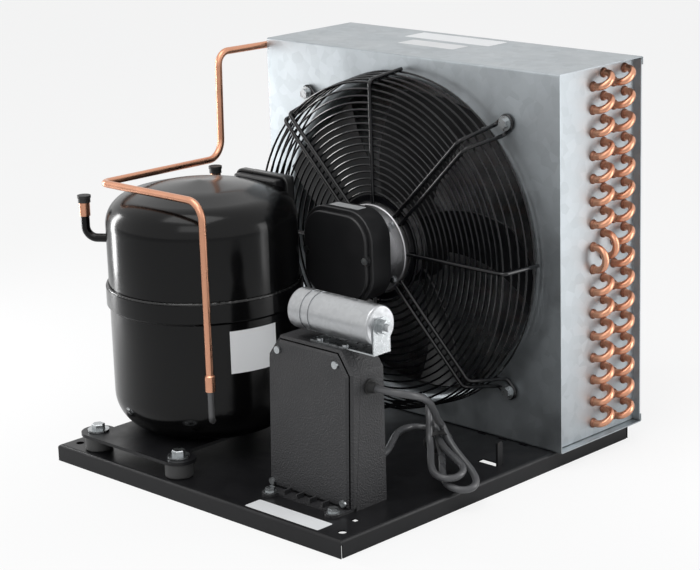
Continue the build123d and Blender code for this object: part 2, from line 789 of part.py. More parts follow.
def lower_shell():
    """Cup with a wider rim that takes the upper shell."""
    cup = shell_volume() - shell_volume(SHELL_T)
    cup -= block(-400, 400, -400, 400, SEAM_Z, 500)
    rim = rod_z(SHELL_R + RIM_T, SEAM_Z - 6, SEAM_Z + RIM_H, COMP_X, COMP_Y)
    rim = chamfer(rim.edges().group_by(Axis.Z)[0], RIM_T - 0.2)
    bore = rod_z(SHELL_R + SHELL_GAP, SEAM_Z, SEAM_Z + RIM_H + 1, COMP_X, COMP_Y)
    bore += rod_z(SHELL_R - 0.5, SEAM_Z - 10, SEAM_Z + 1, COMP_X, COMP_Y)
    return cup + (rim - bore)


def upper_shell():
    cap = shell_volume() - shell_volume(SHELL_T)
    return cap - block(-400, 400, -400, 400, -10, SEAM_Z)


def seam_weld():
    """Weld bead that fills the corner between the rim and the upper shell."""
    z = SEAM_Z + RIM_H
    r = SHELL_R + SHELL_GAP
    bead = ThreePointArc((r, z + 3), (r + 2.4, z + 2.2), (r + RIM_T - 0.3, z))
    outline = bead + Line((r, z + 3), (r, z)) + Line((r, z), (r + RIM_T - 0.3, z))
    ring = revolve(Plane.XZ * make_face(outline), axis=Axis.Z)
    return Pos(COMP_X, COMP_Y, 0) * ring


def foot_plate():
    """Mounting plate under the shell, with a round pad at each foot."""
    plate = block(
        COMP_X - FOOT_X / 2 + 8,
        COMP_X + FOOT_X / 2 - 8,
        COMP_Y - FOOT_Y / 2,
        COMP_Y + FOOT_Y / 2,
        PLATE_Z,
        SHELL_BASE_Z,
    )
    for sy in (-1, 1):
        y = COMP_Y + sy * FOOT_Y / 2
        plate += block(
            COMP_X - FOOT_X / 2, COMP_X + FOOT_X / 2, y - FOOT_PAD_R, y + FOOT_PAD_R, PLATE_Z, SHELL_BASE_Z
        )
    for x, y in compressor_feet():
        plate += rod_z(FOOT_PAD_R, PLATE_Z, SHELL_BASE_Z, x, y)
    for x, y in compressor_feet():
        plate -= rod_z(GROMMET_BORE + 4.1, PLATE_Z - 1, SHELL_BASE_Z + 1, x, y)
    return plate


def rubber_grommets():
    """Grommets: a thick foot under the plate and a neck that fills its hole."""
    rings = []
    for x, y in compressor_feet():
        ring = rod_z(GROMMET_R, TOP, PLATE_Z, x, y)
        ring = chamfer(ring.edges(), 1.5)
        ring += rod_z(GROMMET_BORE + 4, PLATE_Z - 1, SHELL_BASE_Z + 0.5, x, y)
        rings.append(ring - rod_z(GROMMET_BORE, TOP - 1, SHELL_BASE_Z + 2, x, y))
    return rings


def grommet_sleeves():
    sleeves = []
    for x, y in compressor_feet():
        sleeve = rod_z(GROMMET_BORE, TOP, SHELL_BASE_Z + 0.5, x, y)
        sleeves.append(sleeve - rod_z(BOLT_R + BEARING_GAP, TOP - 1, SHELL_BASE_Z + 2, x, y))
    return sleeves


def foot_washers():
    z = SHELL_BASE_Z + 0.5
    return [
        rod_z(WASHER_R, z, z + WASHER_T, x, y)
        - rod_z(BOLT_R + BEARING_GAP, z - 1, z + WASHER_T + 1, x, y)
        for x, y in compressor_feet()
    ]


def foot_bolts():
    bolts = []
    z = SHELL_BASE_Z + 0.5 + WASHER_T
    for x, y in compressor_feet():
        head = chamfer(hexagon_z(HEAD_R, z, z + HEAD_H, x, y).edges().group_by(Axis.Z)[-1], 0.8)
        bolts.append(head + rod_z(BOLT_R, TRAY_H - TRAY_T - 8, z, x, y))
    return bolts


def foot_nuts():
    z = TRAY_H - TRAY_T
    return [
        hexagon_z(HEAD_R, z - HEAD_H, z, x, y)
        - rod_z(BOLT_R + BEARING_GAP, z - HEAD_H - 1, z + 1, x, y)
        for x, y in compressor_feet()
    ]


def stub_axis(angle, reach):
    turn = radians(angle)
    return COMP_X + reach * cos(turn), COMP_Y + reach * sin(turn)


def service_stub(angle, reach, lift=0.0):
    """Steel stub that leaves the side of the upper shell and turns up."""
    x, y = stub_axis(angle, reach)
    start_x, start_y = stub_axis(angle, SHELL_R - 2)
    bend = min(13.0, reach - SHELL_R - 2)
    top = SLEEVE_Z + lift + 6
    path = FilletPolyline((start_x, start_y, STUB_Z), (x, y, STUB_Z), (x, y, top), radius=bend)
    stub = tube_on(path, STUB_R) - shell_volume()
    return stub - rod_z(STUB_R - 1, STUB_Z + 16, top + 1, x, y)


def service_sleeve(angle, reach, lift=0.0):
    """Copper sleeve over the end of a stub, bored right through for the charging line."""
    x, y = stub_axis(angle, reach)
    z0 = SLEEVE_Z + lift
    top = z0 + SLEEVE_L + CAP_L - 3
    sleeve = rod_z(SLEEVE_R, z0, top, x, y)
    sleeve -= rod_z(STUB_R, z0 - 1, z0 + 6, x, y)
    return sleeve - rod_z(STUB_R - 1, z0, top + 1, x, y)


def service_cap(angle, reach, lift=0.0):
    """Rubber dust cap with a wider lip."""
    x, y = stub_axis(angle, reach)
    z0 = SLEEVE_Z + lift + SLEEVE_L
    z1 = z0 + CAP_L
    cap = rod_z(SLEEVE_R + 0.9, z0, z1, x, y)
    cap += rod_z(CAP_R + 0.4, z1 - 3, z1, x, y)
    return cap - rod_z(SLEEVE_R + 0.1, z0 - 1, z1 - 2.5, x, y)


def terminal_box(inset, z0, z1):
    return block(
        TERMINAL_X - TERMINAL_W / 2 + inset,
        TERMINAL_X + TERMINAL_W / 2 - inset,
        TERMINAL_Y - TERMINAL_D / 2 + inset,
        TERMINAL_Y + TERMINAL_D / 2 - inset,
        z0,
        z1,
    )


def terminal_fence():
    """Short steel box welded to the shoulder of the shell round the terminals."""
    z0 = TERMINAL_Z - 60
    inset = TERMINAL_T + SEAM_GAP
    fence = terminal_box(inset, z0, TERMINAL_Z - TERMINAL_T - 1)
    fence -= terminal_box(inset + 2, z0 - 1, TERMINAL_Z)
    fence -= shell_volume()
    return fence & terminal_box(0, TERMINAL_Z - TERMINAL_H, TERMINAL_Z)


def terminal_cover():
    """Moulded cap over the terminals, cut to the slope of the shell."""
    cover = terminal_box(0, TERMINAL_Z - TERMINAL_H, TERMINAL_Z)
    cover = fillet(cover.edges().filter_by(Axis.Z), 5)
    cover = fillet(cover.faces().sort_by(Axis.Z)[-1].edges(), 2)
    cover -= terminal_box(TERMINAL_T, TERMINAL_Z - TERMINAL_H - 1, TERMINAL_Z - TERMINAL_T)
    return cover - shell_volume(-SEAM_GAP)


def terminal_clip():
    """Sprung strip across the cover, with a leg down to the shell at each end."""
    y = TERMINAL_Y
    top = TERMINAL_Z + CLIP_T / 2 + 0.1
    reach = TERMINAL_W / 2 + CLIP_T / 2 + 5
    foot = TERMINAL_Z - TERMINAL_H
    left = TERMINAL_X - reach
    right = TERMINAL_X + reach
    path = FilletPolyline((left, y, foot), (left, y, top), (right, y, top), (right, y, foot), radius=8)
    profile = Plane(origin=path @ 0, z_dir=path % 0) * RectangleRounded(CLIP_T, CLIP_W, 1.2)
    strip = sweep(profile, path=path) - shell_volume(-0.05)
    return strip.solids().sort_by(SortBy.VOLUME)[-1]


# ---- compressor works -------------------------------------------------

def works_stator():
    """Wound stator, carried on four springs."""
    z1 = MOTOR_Z + MOTOR_L
    ring = rod_z(CORE_OUT_R, MOTOR_Z, z1, COMP_X, COMP_Y)
    return ring - rod_z(CORE_IN_R, MOTOR_Z - 1, z1 + 1, COMP_X, COMP_Y)


def works_rotor():
    """Cage rotor pressed on the crankshaft."""
    rotor = rod_z(CORE_IN_R - AIR_GAP, MOTOR_Z + 4, MOTOR_Z + MOTOR_L - 4, COMP_X, COMP_Y)
    return rotor - rod_z(CRANK_R, MOTOR_Z, MOTOR_Z + MOTOR_L, COMP_X, COMP_Y)


def crankshaft():
    """Shaft with a web and a crank pin above the bearing."""
    z1 = BLOCK_Z + BLOCK_L + 0.5
    shaft = rod_z(CRANK_R, MOTOR_Z - 6, z1, COMP_X, COMP_Y)
    web = rod_z(CRANK_R + CRANK_THROW + 2, z1, z1 + 7, COMP_X, COMP_Y)
    pin = rod_z(CRANK_R - 2, z1 + 7, z1 + 27, COMP_X + CRANK_THROW, COMP_Y)
    return shaft + web + pin


def cylinder_block():
    """Crankcase with its legs, the main bearing and the cylinder, bored along X."""
    reach = CORE_OUT_R - 4
    casting = rod_z(reach, BLOCK_Z, BLOCK_Z + 14, COMP_X, COMP_Y)
    casting += rod_z(CRANK_R + 8, BLOCK_Z, BLOCK_Z + BLOCK_L, COMP_X, COMP_Y)
    axis_z = BLOCK_Z + BLOCK_L + 18
    x0 = COMP_X + CRANK_R + CRANK_THROW + 12
    casting += rod_x(BORE_R + 8, x0, COMP_X + reach, COMP_Y, axis_z)
    casting += block(x0, COMP_X + reach - 8, COMP_Y - 8, COMP_Y + 8, BLOCK_Z, axis_z - BORE_R)
    for x, y in spring_places():
        casting += rod_z(5, MOTOR_Z + MOTOR_L, BLOCK_Z + 1, x, y)
    casting -= rod_x(BORE_R, x0 - 1, COMP_X + reach + 1, COMP_Y, axis_z)
    bearing = rod_z(CRANK_R + BEARING_GAP, BLOCK_Z - 1, BLOCK_Z + BLOCK_L + 1, COMP_X, COMP_Y)
    return casting - bearing


def piston():
    """Piston in mid stroke, with its pin hole."""
    axis_z = BLOCK_Z + BLOCK_L + 18
    x1 = COMP_X + CORE_OUT_R - 12
    body = rod_x(BORE_R - BEARING_GAP, x1 - PISTON_L, x1, COMP_Y, axis_z)
    return body - rod_z(4, axis_z - BORE_R - 1, axis_z + BORE_R + 1, x1 - PISTON_L / 2, COMP_Y)


def cylinder_head():
    """Head and valve plate that close the cylinder."""
    axis_z = BLOCK_Z + BLOCK_L + 18
    x0 = COMP_X + CORE_OUT_R - 4
    half = BORE_R + 8
    head = block(x0, x0 + 12, COMP_Y - half, COMP_Y + half, axis_z - half, axis_z + half)
    return fillet(head.edges().filter_by(Axis.X), 6)


def spring_places():
    reach = (CORE_OUT_R - 12) / sqrt(2)
    return [(COMP_X + sx * reach, COMP_Y + sy * reach) for sx in (-1, 1) for sy in (-1, 1)]


def works_springs():
    """Suspension springs, drawn as tubes, between the shell and the stator."""
    springs = []
    room = shell_volume(SHELL_T)
    for x, y in spring_places():
        coil = rod_z(7, SHELL_BASE_Z, MOTOR_Z, x, y) - rod_z(5, SHELL_BASE_Z - 1, MOTOR_Z + 1, x, y)
        springs.append(coil & room)
    return springs


# ---- electrical box ---------------------------------------------------

def ebox_outline():
    return [
        (EBOX_X0, TOP),
        (EBOX_X1, TOP),
        (EBOX_X1, EBOX_TOP - EBOX_CHAMFER_Z),
        (EBOX_X1 - EBOX_CHAMFER_X, EBOX_TOP),
        (EBOX_X0 + EBOX_CHAMFER_X, EBOX_TOP),
        (EBOX_X0, EBOX_TOP - EBOX_CHAMFER_Z),
    ]


def ebox_body(inset):
    """Closed body of the box; the front leans back a little."""
    plane = Plane(origin=(0, EBOX_Y0 + inset, 0), x_dir=(1, 0, 0), z_dir=(0, -1, 0))
    outline = make_face(Polyline(*ebox_outline(), close=True))
    face = plane * (offset(outline, -inset) if inset else outline)
    depth = EBOX_Y1 - EBOX_Y0 - 2 * inset
    body = extrude(face, -depth)
    wedge = Polyline(
        (EBOX_Y0 - 5, TOP - 1),
        (EBOX_Y0 + inset, TOP - 1),
        (EBOX_Y0 + EBOX_LEAN + inset, EBOX_TOP + 1),
        (EBOX_Y0 - 5, EBOX_TOP + 1),
        close=True,
    )
    cut = extrude(Plane.YZ * make_face(wedge), 600, both=True)
    return body - cut


def seam_side(front):
    """Half space in front of or behind the slanted seam."""
    y_foot = EBOX_Y0 + SEAM_FOOT_IN
    y_top = EBOX_Y0 + SEAM_TOP_IN
    far = -400 if front else 400
    shift = -SEAM_GAP / 2 if front else SEAM_GAP / 2
    outline = Polyline(
        (y_foot + shift, TOP - 5),
        (y_top + shift, EBOX_TOP + 5),
        (far, EBOX_TOP + 5),
        (far, TOP - 5),
        close=True,
    )
    return extrude(Plane.YZ * make_face(outline), 600, both=True)


def ebox_cover():
    body = ebox_body(0)
    front = body.faces().sort_by(Axis.Y)[0]
    body = chamfer(front.edges(), EBOX_BEVEL)
    cover = (body - ebox_body(BOX_WALL)) & seam_side(True)
    cover -= block(-400, 400, -400, 400, TOP - 1, TOP + FOOT_FLANGE_T + SEAM_GAP)
    for x, z in ebox_screw_places():
        cover -= rod_y(SMALL_R + BEARING_GAP, EBOX_Y0 - 5, EBOX_Y0 + 40, x, z)
    return cover


def ebox_base():
    base = (ebox_body(0) - ebox_body(BOX_WALL)) & seam_side(False)
    x, y, z = gland_place()
    base -= rod_x(CORD_R + 2.5, x - 6, x + 2, y, z)
    x, y, z = rear_gland_place()
    base -= rod_y(CORD_R + 2.5, y - 6, y + 2, x, z)
    for x, z in ebox_screw_places():
        boss = rod_y(SMALL_R + 2.5, EBOX_Y0 + 26, EBOX_Y1 - 1, x, z)
        base += boss & ebox_body(0) & seam_side(False)
        base -= rod_y(SMALL_R + BEARING_GAP, EBOX_Y0 - 5, EBOX_Y0 + 42, x, z)
    return base + ebox_foot()


def ebox_foot_screw_places():
    y = EBOX_Y0 - FOOT_FLANGE_Y + LUG_R - 2
    return [(FOOT_FLANGE_X0 + LUG_R, y), (FOOT_FLANGE_X1 - LUG_R, y)]


def ebox_foot():
    """Flange in front of the box, with a lug at each end and ribs between them."""
    z1 = TOP + FOOT_FLANGE_T
    y_back = EBOX_Y0 + SEAM_FOOT_IN + 1
    y_front = EBOX_Y0 - FOOT_FLANGE_Y + LUG_R
    foot = block(FOOT_FLANGE_X0, FOOT_FLANGE_X1, y_front, y_back, TOP, z1)
    for x, y in ebox_foot_screw_places():
        foot += rod_z(LUG_R, TOP, z1, x, y)
    room = FOOT_FLANGE_X1 - FOOT_FLANGE_X0 - 4 * LUG_R
    for index in range(4):
        x = FOOT_FLANGE_X0 + 2 * LUG_R + room * (index + 0.5) / 4
        foot += block(x - FOOT_RIB / 2, x + FOOT_RIB / 2, y_front, EBOX_Y0 - 1, z1, z1 + 5)
    for x, y in ebox_foot_screw_places():
        foot -= rod_z(FOOT_SCREW_R + BEARING_GAP, TOP - 1, z1 + 1, x, y)
    return foot


def ebox_foot_screws():
    """Flanged hexagon screws that hold the box to the tray."""
    z = TOP + FOOT_FLANGE_T
    screws = []
    for x, y in ebox_foot_screw_places():
        head = rod_z(LUG_R - 2, z, z + 1, x, y) + hexagon_z(LUG_R - 3.5, z + 1, z + 5, x, y)
        screws.append(head + rod_z(FOOT_SCREW_R, TRAY_H - TRAY_T - 6, z, x, y))
    return screws


def ebox_screw_places():
    low = TOP + 9
    high = EBOX_TOP - 14
    return [
        (EBOX_X0 + 9, low),
        (EBOX_X1 - 9, low),
        (EBOX_X0 + 19, high),
        (EBOX_X1 - 19, high),
    ]


def ebox_screws():
    screws = []
    for x, z in ebox_screw_places():
        lean = EBOX_LEAN * (z - TOP + 1) / (EBOX_TOP - TOP + 2)
        y = EBOX_Y0 + lean - 0.25
        head = rod_y(SMALL_HEAD_R, y - SMALL_HEAD_H, y, x, z)
        screws.append(head + rod_y(SMALL_R, y, EBOX_Y0 + 38, x, z))
    return screws


def gland_place():
    """Centre of the cord gland on the right side of the box."""
    return EBOX_X1, EBOX_Y0 + SEAM_TOP_IN + 9, GLAND_Z - 8


def rear_gland_place():
    return EBOX_X1 - 28, EBOX_Y1, TOP + 34


def cord_glands():
    x, y, z = gland_place()
    side = rod_x(CORD_R + 2.5, x - 5, x, y, z) + rod_x(CORD_R + 4, x, x + 2, y, z)
    side += Pos(x + 2 + 4, y, z) * Rot(0, 90, 0) * Cone(CORD_R + 2.5, CORD_R + 1.2, 8)
    side -= rod_x(CORD_R, x - 6, x + 12, y, z)
    x, y, z = rear_gland_place()
    rear = rod_y(CORD_R + 2.5, y - 5, y, x, z) + rod_y(CORD_R + 4, y, y + 2, x, z)
    rear += Pos(x, y + 2 + 4, z) * Rot(-90, 0, 0) * Cone(CORD_R + 2.5, CORD_R + 1.2, 8)
    rear -= rod_y(CORD_R, y - 6, y + 12, x, z)
    return [side, rear]


def start_relay():
    """Relay and terminal strip on the back wall of the box."""
    y1 = EBOX_Y1 - BOX_WALL
    middle = (EBOX_X0 + EBOX_X1) / 2
    return [
        block(middle - 34, middle - 4, y1 - 24, y1, TOP + 70, TOP + 110),
        block(middle + 2, middle + 40, y1 - 14, y1, TOP + 78, TOP + 98),
    ]


# ---- run capacitor ----------------------------------------------------

def capacitor_z():
    return EBOX_TOP + BRACKET_T + 6 + CAN_R


def capacitor_can():
    """Aluminium can with two rolled grooves near one end and a stud at the other."""
    z = capacitor_z()
    can = rod_x(CAN_R, CAN_X, CAN_X + CAN_L, CAN_Y, z)
    can = fillet(can.edges().filter_by(GeomType.CIRCLE), 2.5)
    for x in (CAN_X + 20, CAN_X + 31):
        groove = rod_x(CAN_R + 2, x - 1.5, x + 1.5, CAN_Y, z) - rod_x(CAN_R - 0.9, x - 2, x + 2, CAN_Y, z)
        can -= groove
    x = CAN_X + CAN_L
    return can + rod_x(STUD_R, x, x + BRACKET_T + 12, CAN_Y, z)


def capacitor_bracket():
    """Bent strip: a foot on the box, and an upright with the stud hole."""
    x1 = CAN_X + CAN_L + BRACKET_T
    x0 = CAN_X + 24
    z0 = EBOX_TOP
    z = capacitor_z()
    foot = block(x0, x1, CAN_Y - 12, CAN_Y + 12, z0, z0 + BRACKET_T)
    upright = block(x1 - BRACKET_T, x1, CAN_Y - 12, CAN_Y + 12, z0, z + 9)
    upright = fillet(upright.edges().filter_by(Axis.X).group_by(Axis.Z)[-1], 8)
    bracket = foot + upright
    return bracket - rod_x(STUD_R + BEARING_GAP, x1 - 5, x1 + 5, CAN_Y, z)


def capacitor_nut():
    x = CAN_X + CAN_L + BRACKET_T
    z = capacitor_z()
    face = Plane(origin=(x + 1, CAN_Y, z), z_dir=(1, 0, 0)) * RegularPolygon(7.5, 6)
    nut = extrude(face, 6) + rod_x(9, x, x + 1, CAN_Y, z)
    return nut - rod_x(STUD_R + BEARING_GAP, x - 1, x + 8, CAN_Y, z)


def bracket_screws():
    z = EBOX_TOP + BRACKET_T
    return [
        rod_z(3.2, z, z + 2, x, CAN_Y - 8) for x in (CAN_X + 34, CAN_X + 70)
    ]


# ---- cords ------------------------------------------------------------

def cord_radii(points):
    """Bend radius at each corner: 0.45 of the shorter run over the tangent of half the turn."""
    radii = []
    for before, here, after in zip(points, points[1:], points[2:]):
        first = Vector(*here) - Vector(*before)
        second = Vector(*after) - Vector(*here)
        half_turn = radians(first.get_angle(second)) / 2
        radii.append(0.45 * min(first.length, second.length) / tan(half_turn))
    return radii


def cord_tube(name, points):
    radii = cord_radii(points)
    tube = bent_pipe(points, radii, CORD_R)
    length = FilletPolyline(*points, radius=radii).length
    section = pi * CORD_R ** 2
    print(name, "length %.1f" % length, "volume ratio %.4f" % (tube.volume / (section * length)))
    print("  radii", [round(radius, 1) for radius in radii])
    return tube


def hank_line():
    """Start, end and unit direction of the hank."""
    start = Vector(*HANK_A)
    end = Vector(*HANK_B)
    return start, end, (end - start).normalized()


def hank():
    """Outer shape of the tied hank: narrow at its tie, spread and flat at its loops."""
    start, end, along = hank_line()
    across = Vector(0, 0, 1).cross(along)
    neck = Plane(origin=start, z_dir=along, x_dir=across) * Ellipse(15, 11)
    middle = Plane(origin=(start + end) / 2, z_dir=along, x_dir=across) * Ellipse(25, 14)
    mouth = Plane(origin=end, z_dir=along, x_dir=across) * Ellipse(27, 9)
    return loft([neck, middle, mouth])


def hank_entry(side):
    """Where a cord runs in under the tie of the hank."""
    start, end, along = hank_line()
    across = Vector(0, 0, 1).cross(along)
    return tuple(start + across * (side * 7) + along * 6)


def upper_cord_points():
    x, y, z = gland_place()
    return [
        (x + 10, y, z),
        (x + 24, y, z),
        (x + 38, y + 11, z - 2),
        (x + 40, y + 30, z - 9),
        (x + 30, y + 56, z - 26),
        (x + 12, y + 82, z - 50),
        (x - 6, y + 104, z - 74),
        hank_entry(1),
    ]


def lower_cord_points():
    x, y, z = rear_gland_place()
    return [
        (x, y + 10, z),
        (x, y + 24, z),
        (x - 3, y + 46, z + 6),
        (x - 6, y + 72, z + 5),
        hank_entry(-1),
    ]


def main():
    os.makedirs("parts", exist_ok=True)
    save("base_tray", [base_tray()])
    save("fan_cowl", [fan_cowl()])
    save("end_sheet_right", [end_sheet(1)])
    save("end_sheet_left", [end_sheet(-1)])
    save("fin_block", [fin_block()])
    save("return_bends", return_bends())
    save("hairpin_bends", hairpin_bends())
    save("discharge_pipe", [discharge_pipe()])
    save("discharge_stub", [discharge_stub()])
    save("liquid_stub", [liquid_stub()])
    save("cowl_screws", cowl_screws())
    save("motor_stator", [motor_stator()])
    save("motor_rotor", [motor_rotor()])
    save("hub_screws", hub_screws())
    save("fan_blades", fan_blades())
    save("fan_hub", [fan_hub()])
    rings, plate, arms = fan_guard()
    guard = plate
    for piece in rings + arms:
        guard = guard + piece
    save("fan_guard", [guard])
    save("guard_screws", guard_screws())
    save("motor_box_base", [motor_box_base()])
    save("motor_box_lid", [motor_box_lid()])
    save("motor_lid_screws", motor_lid_screws())
    save("motor_terminal_block", [motor_terminal_block()])
    save("compressor_lower_shell", [lower_shell()])
    save("compressor_upper_shell", [upper_shell()])
    save("seam_weld", [seam_weld()])
    save("foot_plate", [foot_plate()])
    save("rubber_grommets", rubber_grommets())
    save("grommet_sleeves", grommet_sleeves())
    save("foot_washers", foot_washers())
    save("foot_bolts", foot_bolts())
    save("foot_nuts", foot_nuts())
    for name, angle, reach, lift in (
        ("suction", SUCTION_ANGLE, SUCTION_REACH, 0),
        ("process", PROCESS_ANGLE, PROCESS_REACH, PROCESS_LIFT),
    ):
        save(name + "_stub", [service_stub(angle, reach, lift)])
        save(name + "_sleeve", [service_sleeve(angle, reach, lift)])
        save(name + "_cap", [service_cap(angle, reach, lift)])
    save("terminal_fence", [terminal_fence()])
    save("terminal_cover", [terminal_cover()])
    save("terminal_clip", [terminal_clip()])
    save("works_stator", [works_stator()])
    save("works_rotor", [works_rotor()])
    save("crankshaft", [crankshaft()])
    save("cylinder_block", [cylinder_block()])
    save("piston", [piston()])
    save("cylinder_head", [cylinder_head()])
    save("works_springs", works_springs())
    save("electrical_box_base", [ebox_base()])
    save("electrical_box_cover", [ebox_cover()])
    save("electrical_box_screws", ebox_screws())
    save("box_foot_screws", ebox_foot_screws())
    save("cord_glands", cord_glands())
    save("start_relay", start_relay())
    save("capacitor_can", [capacitor_can()])
    save("capacitor_bracket", [capacitor_bracket()])
    save("capacitor_nut", [capacitor_nut()])
    save("bracket_screws", bracket_screws())
    save("cord_hank", [hank()])
    save("cord_upper", [cord_tube("upper cord", upper_cord_points())])
    save("cord_lower", [cord_tube("lower cord", lower_cord_points())])


main()
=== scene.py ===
# %% [markdown]
# # A refrigeration condensing unit, dressed for a picture
# The solid model already gives every piece its true shape, size and place. This lesson opens it in
# Blender, gives each piece its finish, and swaps a few plain solids for finer pieces that stand in the
# same place: the wire guard, the copper bends, the fins, the weld round the compressor and the cord.

import json
import math
import random

import bpy
from mathutils import Matrix, Vector


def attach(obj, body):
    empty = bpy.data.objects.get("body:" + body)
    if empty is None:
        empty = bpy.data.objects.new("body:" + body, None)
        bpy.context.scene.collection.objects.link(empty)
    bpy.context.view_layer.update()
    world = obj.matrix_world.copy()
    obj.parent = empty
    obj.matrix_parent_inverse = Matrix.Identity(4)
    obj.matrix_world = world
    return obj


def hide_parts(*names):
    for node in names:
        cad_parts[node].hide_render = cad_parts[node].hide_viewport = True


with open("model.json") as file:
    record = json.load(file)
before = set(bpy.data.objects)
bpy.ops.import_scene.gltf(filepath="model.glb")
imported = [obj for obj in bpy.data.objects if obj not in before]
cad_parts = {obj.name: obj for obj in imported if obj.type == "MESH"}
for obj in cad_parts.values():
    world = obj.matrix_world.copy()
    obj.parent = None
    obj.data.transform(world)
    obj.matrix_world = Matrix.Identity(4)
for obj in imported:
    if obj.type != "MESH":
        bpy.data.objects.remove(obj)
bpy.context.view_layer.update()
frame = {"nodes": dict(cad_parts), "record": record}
MM = 0.001
print("solid pieces:", len(frame["nodes"]))

# %% [markdown]
# ## The camera
# A product picture of such a machine is taken from one corner, a little above it, with a long lens, so
# that the upright edges stay almost parallel. A camera is placed by three things: the point it looks at,
# the direction it looks from, and its distance. We turn those into a matrix ourselves, because that also
# lets us lean the camera a little, as a hand-set tripod does.

# %% Camera
CAMERA_TURN = math.radians(44.771)
CAMERA_RISE = math.radians(15.436)
CAMERA_LEAN = math.radians(-1.802)
CAMERA_DISTANCE = 2.3559
CAMERA_TARGET = Vector((0.035246, -0.017909, 0.20108))
LENS_MM = 112.07


def camera_matrix():
    """Place and attitude of the camera, from the angles above."""
    turn, rise, lean = CAMERA_TURN, CAMERA_RISE, CAMERA_LEAN
    back = Vector((math.sin(turn) * math.cos(rise), -math.cos(turn) * math.cos(rise), math.sin(rise)))
    right = Vector((math.cos(turn), math.sin(turn), 0))
    up = back.cross(right)
    leant_right = right * math.cos(lean) + up * math.sin(lean)
    leant_up = up * math.cos(lean) - right * math.sin(lean)
    axes = Matrix((leant_right, leant_up, back)).transposed().to_4x4()
    return Matrix.Translation(CAMERA_TARGET + back * CAMERA_DISTANCE) @ axes


camera_data = bpy.data.cameras.new("product_camera")
camera_data.sensor_width = 36
camera_data.lens = LENS_MM
camera_data.clip_start, camera_data.clip_end = 0.05, 60
camera = bpy.data.objects.new("product_camera", camera_data)
camera.matrix_world = camera_matrix()
bpy.context.scene.collection.objects.link(camera)
bpy.context.scene.camera = camera
print("camera stands at", [round(v, 3) for v in camera.location])

# %% [markdown]
# ## The cord
# Two grey runs of cord leave the electrical box, and here they are one length. It comes out of the side,
# swings out and down in one easy curve, is folded in loops under a strap, and goes back in at the rear.
#  A cord is a NURBS curve: its control points pull the line towards them but it never
# kinks. The order has to be set after the points are there, or Blender quietly keeps it at straight runs.
# The thickness is set as each point's own radius with a bevel of one, because Blender counts that radius
# when it measures the curve's box.

# %% Cord helper
CORD_RADIUS = 3.8 * MM


def spline_curve(name, points_mm, radius):
    """A round cord along a NURBS line through the pull of these points."""
    data = bpy.data.curves.new(name, "CURVE")
    data.dimensions = "3D"
    data.bevel_depth = 1.0
    data.bevel_resolution = 5
    data.resolution_u = 12
    data.use_fill_caps = True
    spline = data.splines.new("NURBS")
    spline.points.add(len(points_mm) - 1)
    for control, point in zip(spline.points, points_mm):
        control.co = (*(c * MM for c in point), 1)
        control.radius = radius
    spline.order_u = 3
    spline.use_endpoint_u = True
    curve = bpy.data.objects.new(name, data)
    bpy.context.scene.collection.objects.link(curve)
    return curve


# %% The route of the cord
TIE = Vector((161, -20, 50))
LOOP_TIPS = Vector((226, -61, 26))
ALONG = (LOOP_TIPS - TIE).normalized()
ACROSS = Vector((0, 0, 1)).cross(ALONG).normalized()
ABOVE = ALONG.cross(ACROSS)


def by_tie(ahead, aside, above):
    """A point measured from the tie: ahead towards the loop tips, aside, and above."""
    return TIE + ALONG * ahead + ACROSS * aside + ABOVE * above


CORD_EXIT = (188, -139, 146)
UPPER_RUN = [
    CORD_EXIT,
    (208, -139, 146),
    (222, -124, 142),
    (217, -102, 133),
    (205, -78, 118),
    (189, -54, 98),
    (171, -31, 80),
    (158, -10, 67),
    by_tie(8, 9, 8),
]
RIGHT_LOOP = [
    by_tie(26, 14, 3),
    by_tie(52, 22, 0),
    by_tie(72, 23, -1),
    by_tie(83, 14, -1),
    by_tie(83, 0, -1),
    by_tie(71, -11, -1),
    by_tie(50, -9, -2),
    by_tie(22, -1, -4),
    by_tie(2, 2, -4),
]
SMALL_LOOP = [
    by_tie(-24, 6, -5),
    by_tie(-38, 4, 4),
    by_tie(-39, 0, 17),
    by_tie(-30, -4, 27),
    by_tie(-14, -7, 25),
    by_tie(0, -10, 9),
]
LEFT_LOOP = [
    by_tie(18, -13, 6),
    by_tie(46, -21, 8),
    by_tie(63, -22, 8),
    by_tie(73, -13, 8),
    by_tie(73, 1, 8),
    by_tie(61, 12, 8),
    by_tie(44, 8, 8),
    by_tie(20, 1, 7),
    by_tie(0, 0, 5),
]
LOWER_RUN = [
    by_tie(-12, 1, 7),
    (135, -9, 58),
    (123, -22, 60),
    (126, -45, 61),
    (139, -68, 57),
    (149, -88, 53),
    (150, -108, 53),
]
CORD_POINTS = UPPER_RUN + RIGHT_LOOP + SMALL_LOOP + LEFT_LOOP + LOWER_RUN
box_cord = spline_curve("box_cord", CORD_POINTS, CORD_RADIUS)


def curve_length(curve):
    """Length of a curve's own line, in metres."""
    bare = curve.data.copy()
    bare.bevel_depth = 0
    probe = bpy.data.objects.new("probe", bare)
    mesh = bpy.data.meshes.new_from_object(probe)
    places = [vertex.co.copy() for vertex in mesh.vertices]
    run = sum((places[edge.vertices[0]] - places[edge.vertices[1]]).length for edge in mesh.edges)
    bpy.data.objects.remove(probe)
    bpy.data.meshes.remove(mesh)
    bpy.data.curves.remove(bare)
    return run


print("cord length:", round(curve_length(box_cord), 4))
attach(box_cord, "root")
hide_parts("cord_upper", "cord_lower", "cord_hank")

# %% [markdown]
# ## Light, floor and background
# A studio for shiny machines is a large pale room: metal shows its surroundings, so it needs bright walls
# and a few long softboxes to draw streaks along its curves. The world gives an even pale light from all
# sides, and shows as white to the camera and in reflections. Two tall strips stand low beside the
# compressor, because its upright wall reflects what is near the floor. The floor is a plain white sheet
# that keeps the soft shadow. The view transform is Standard, so that a colour comes out about as written.

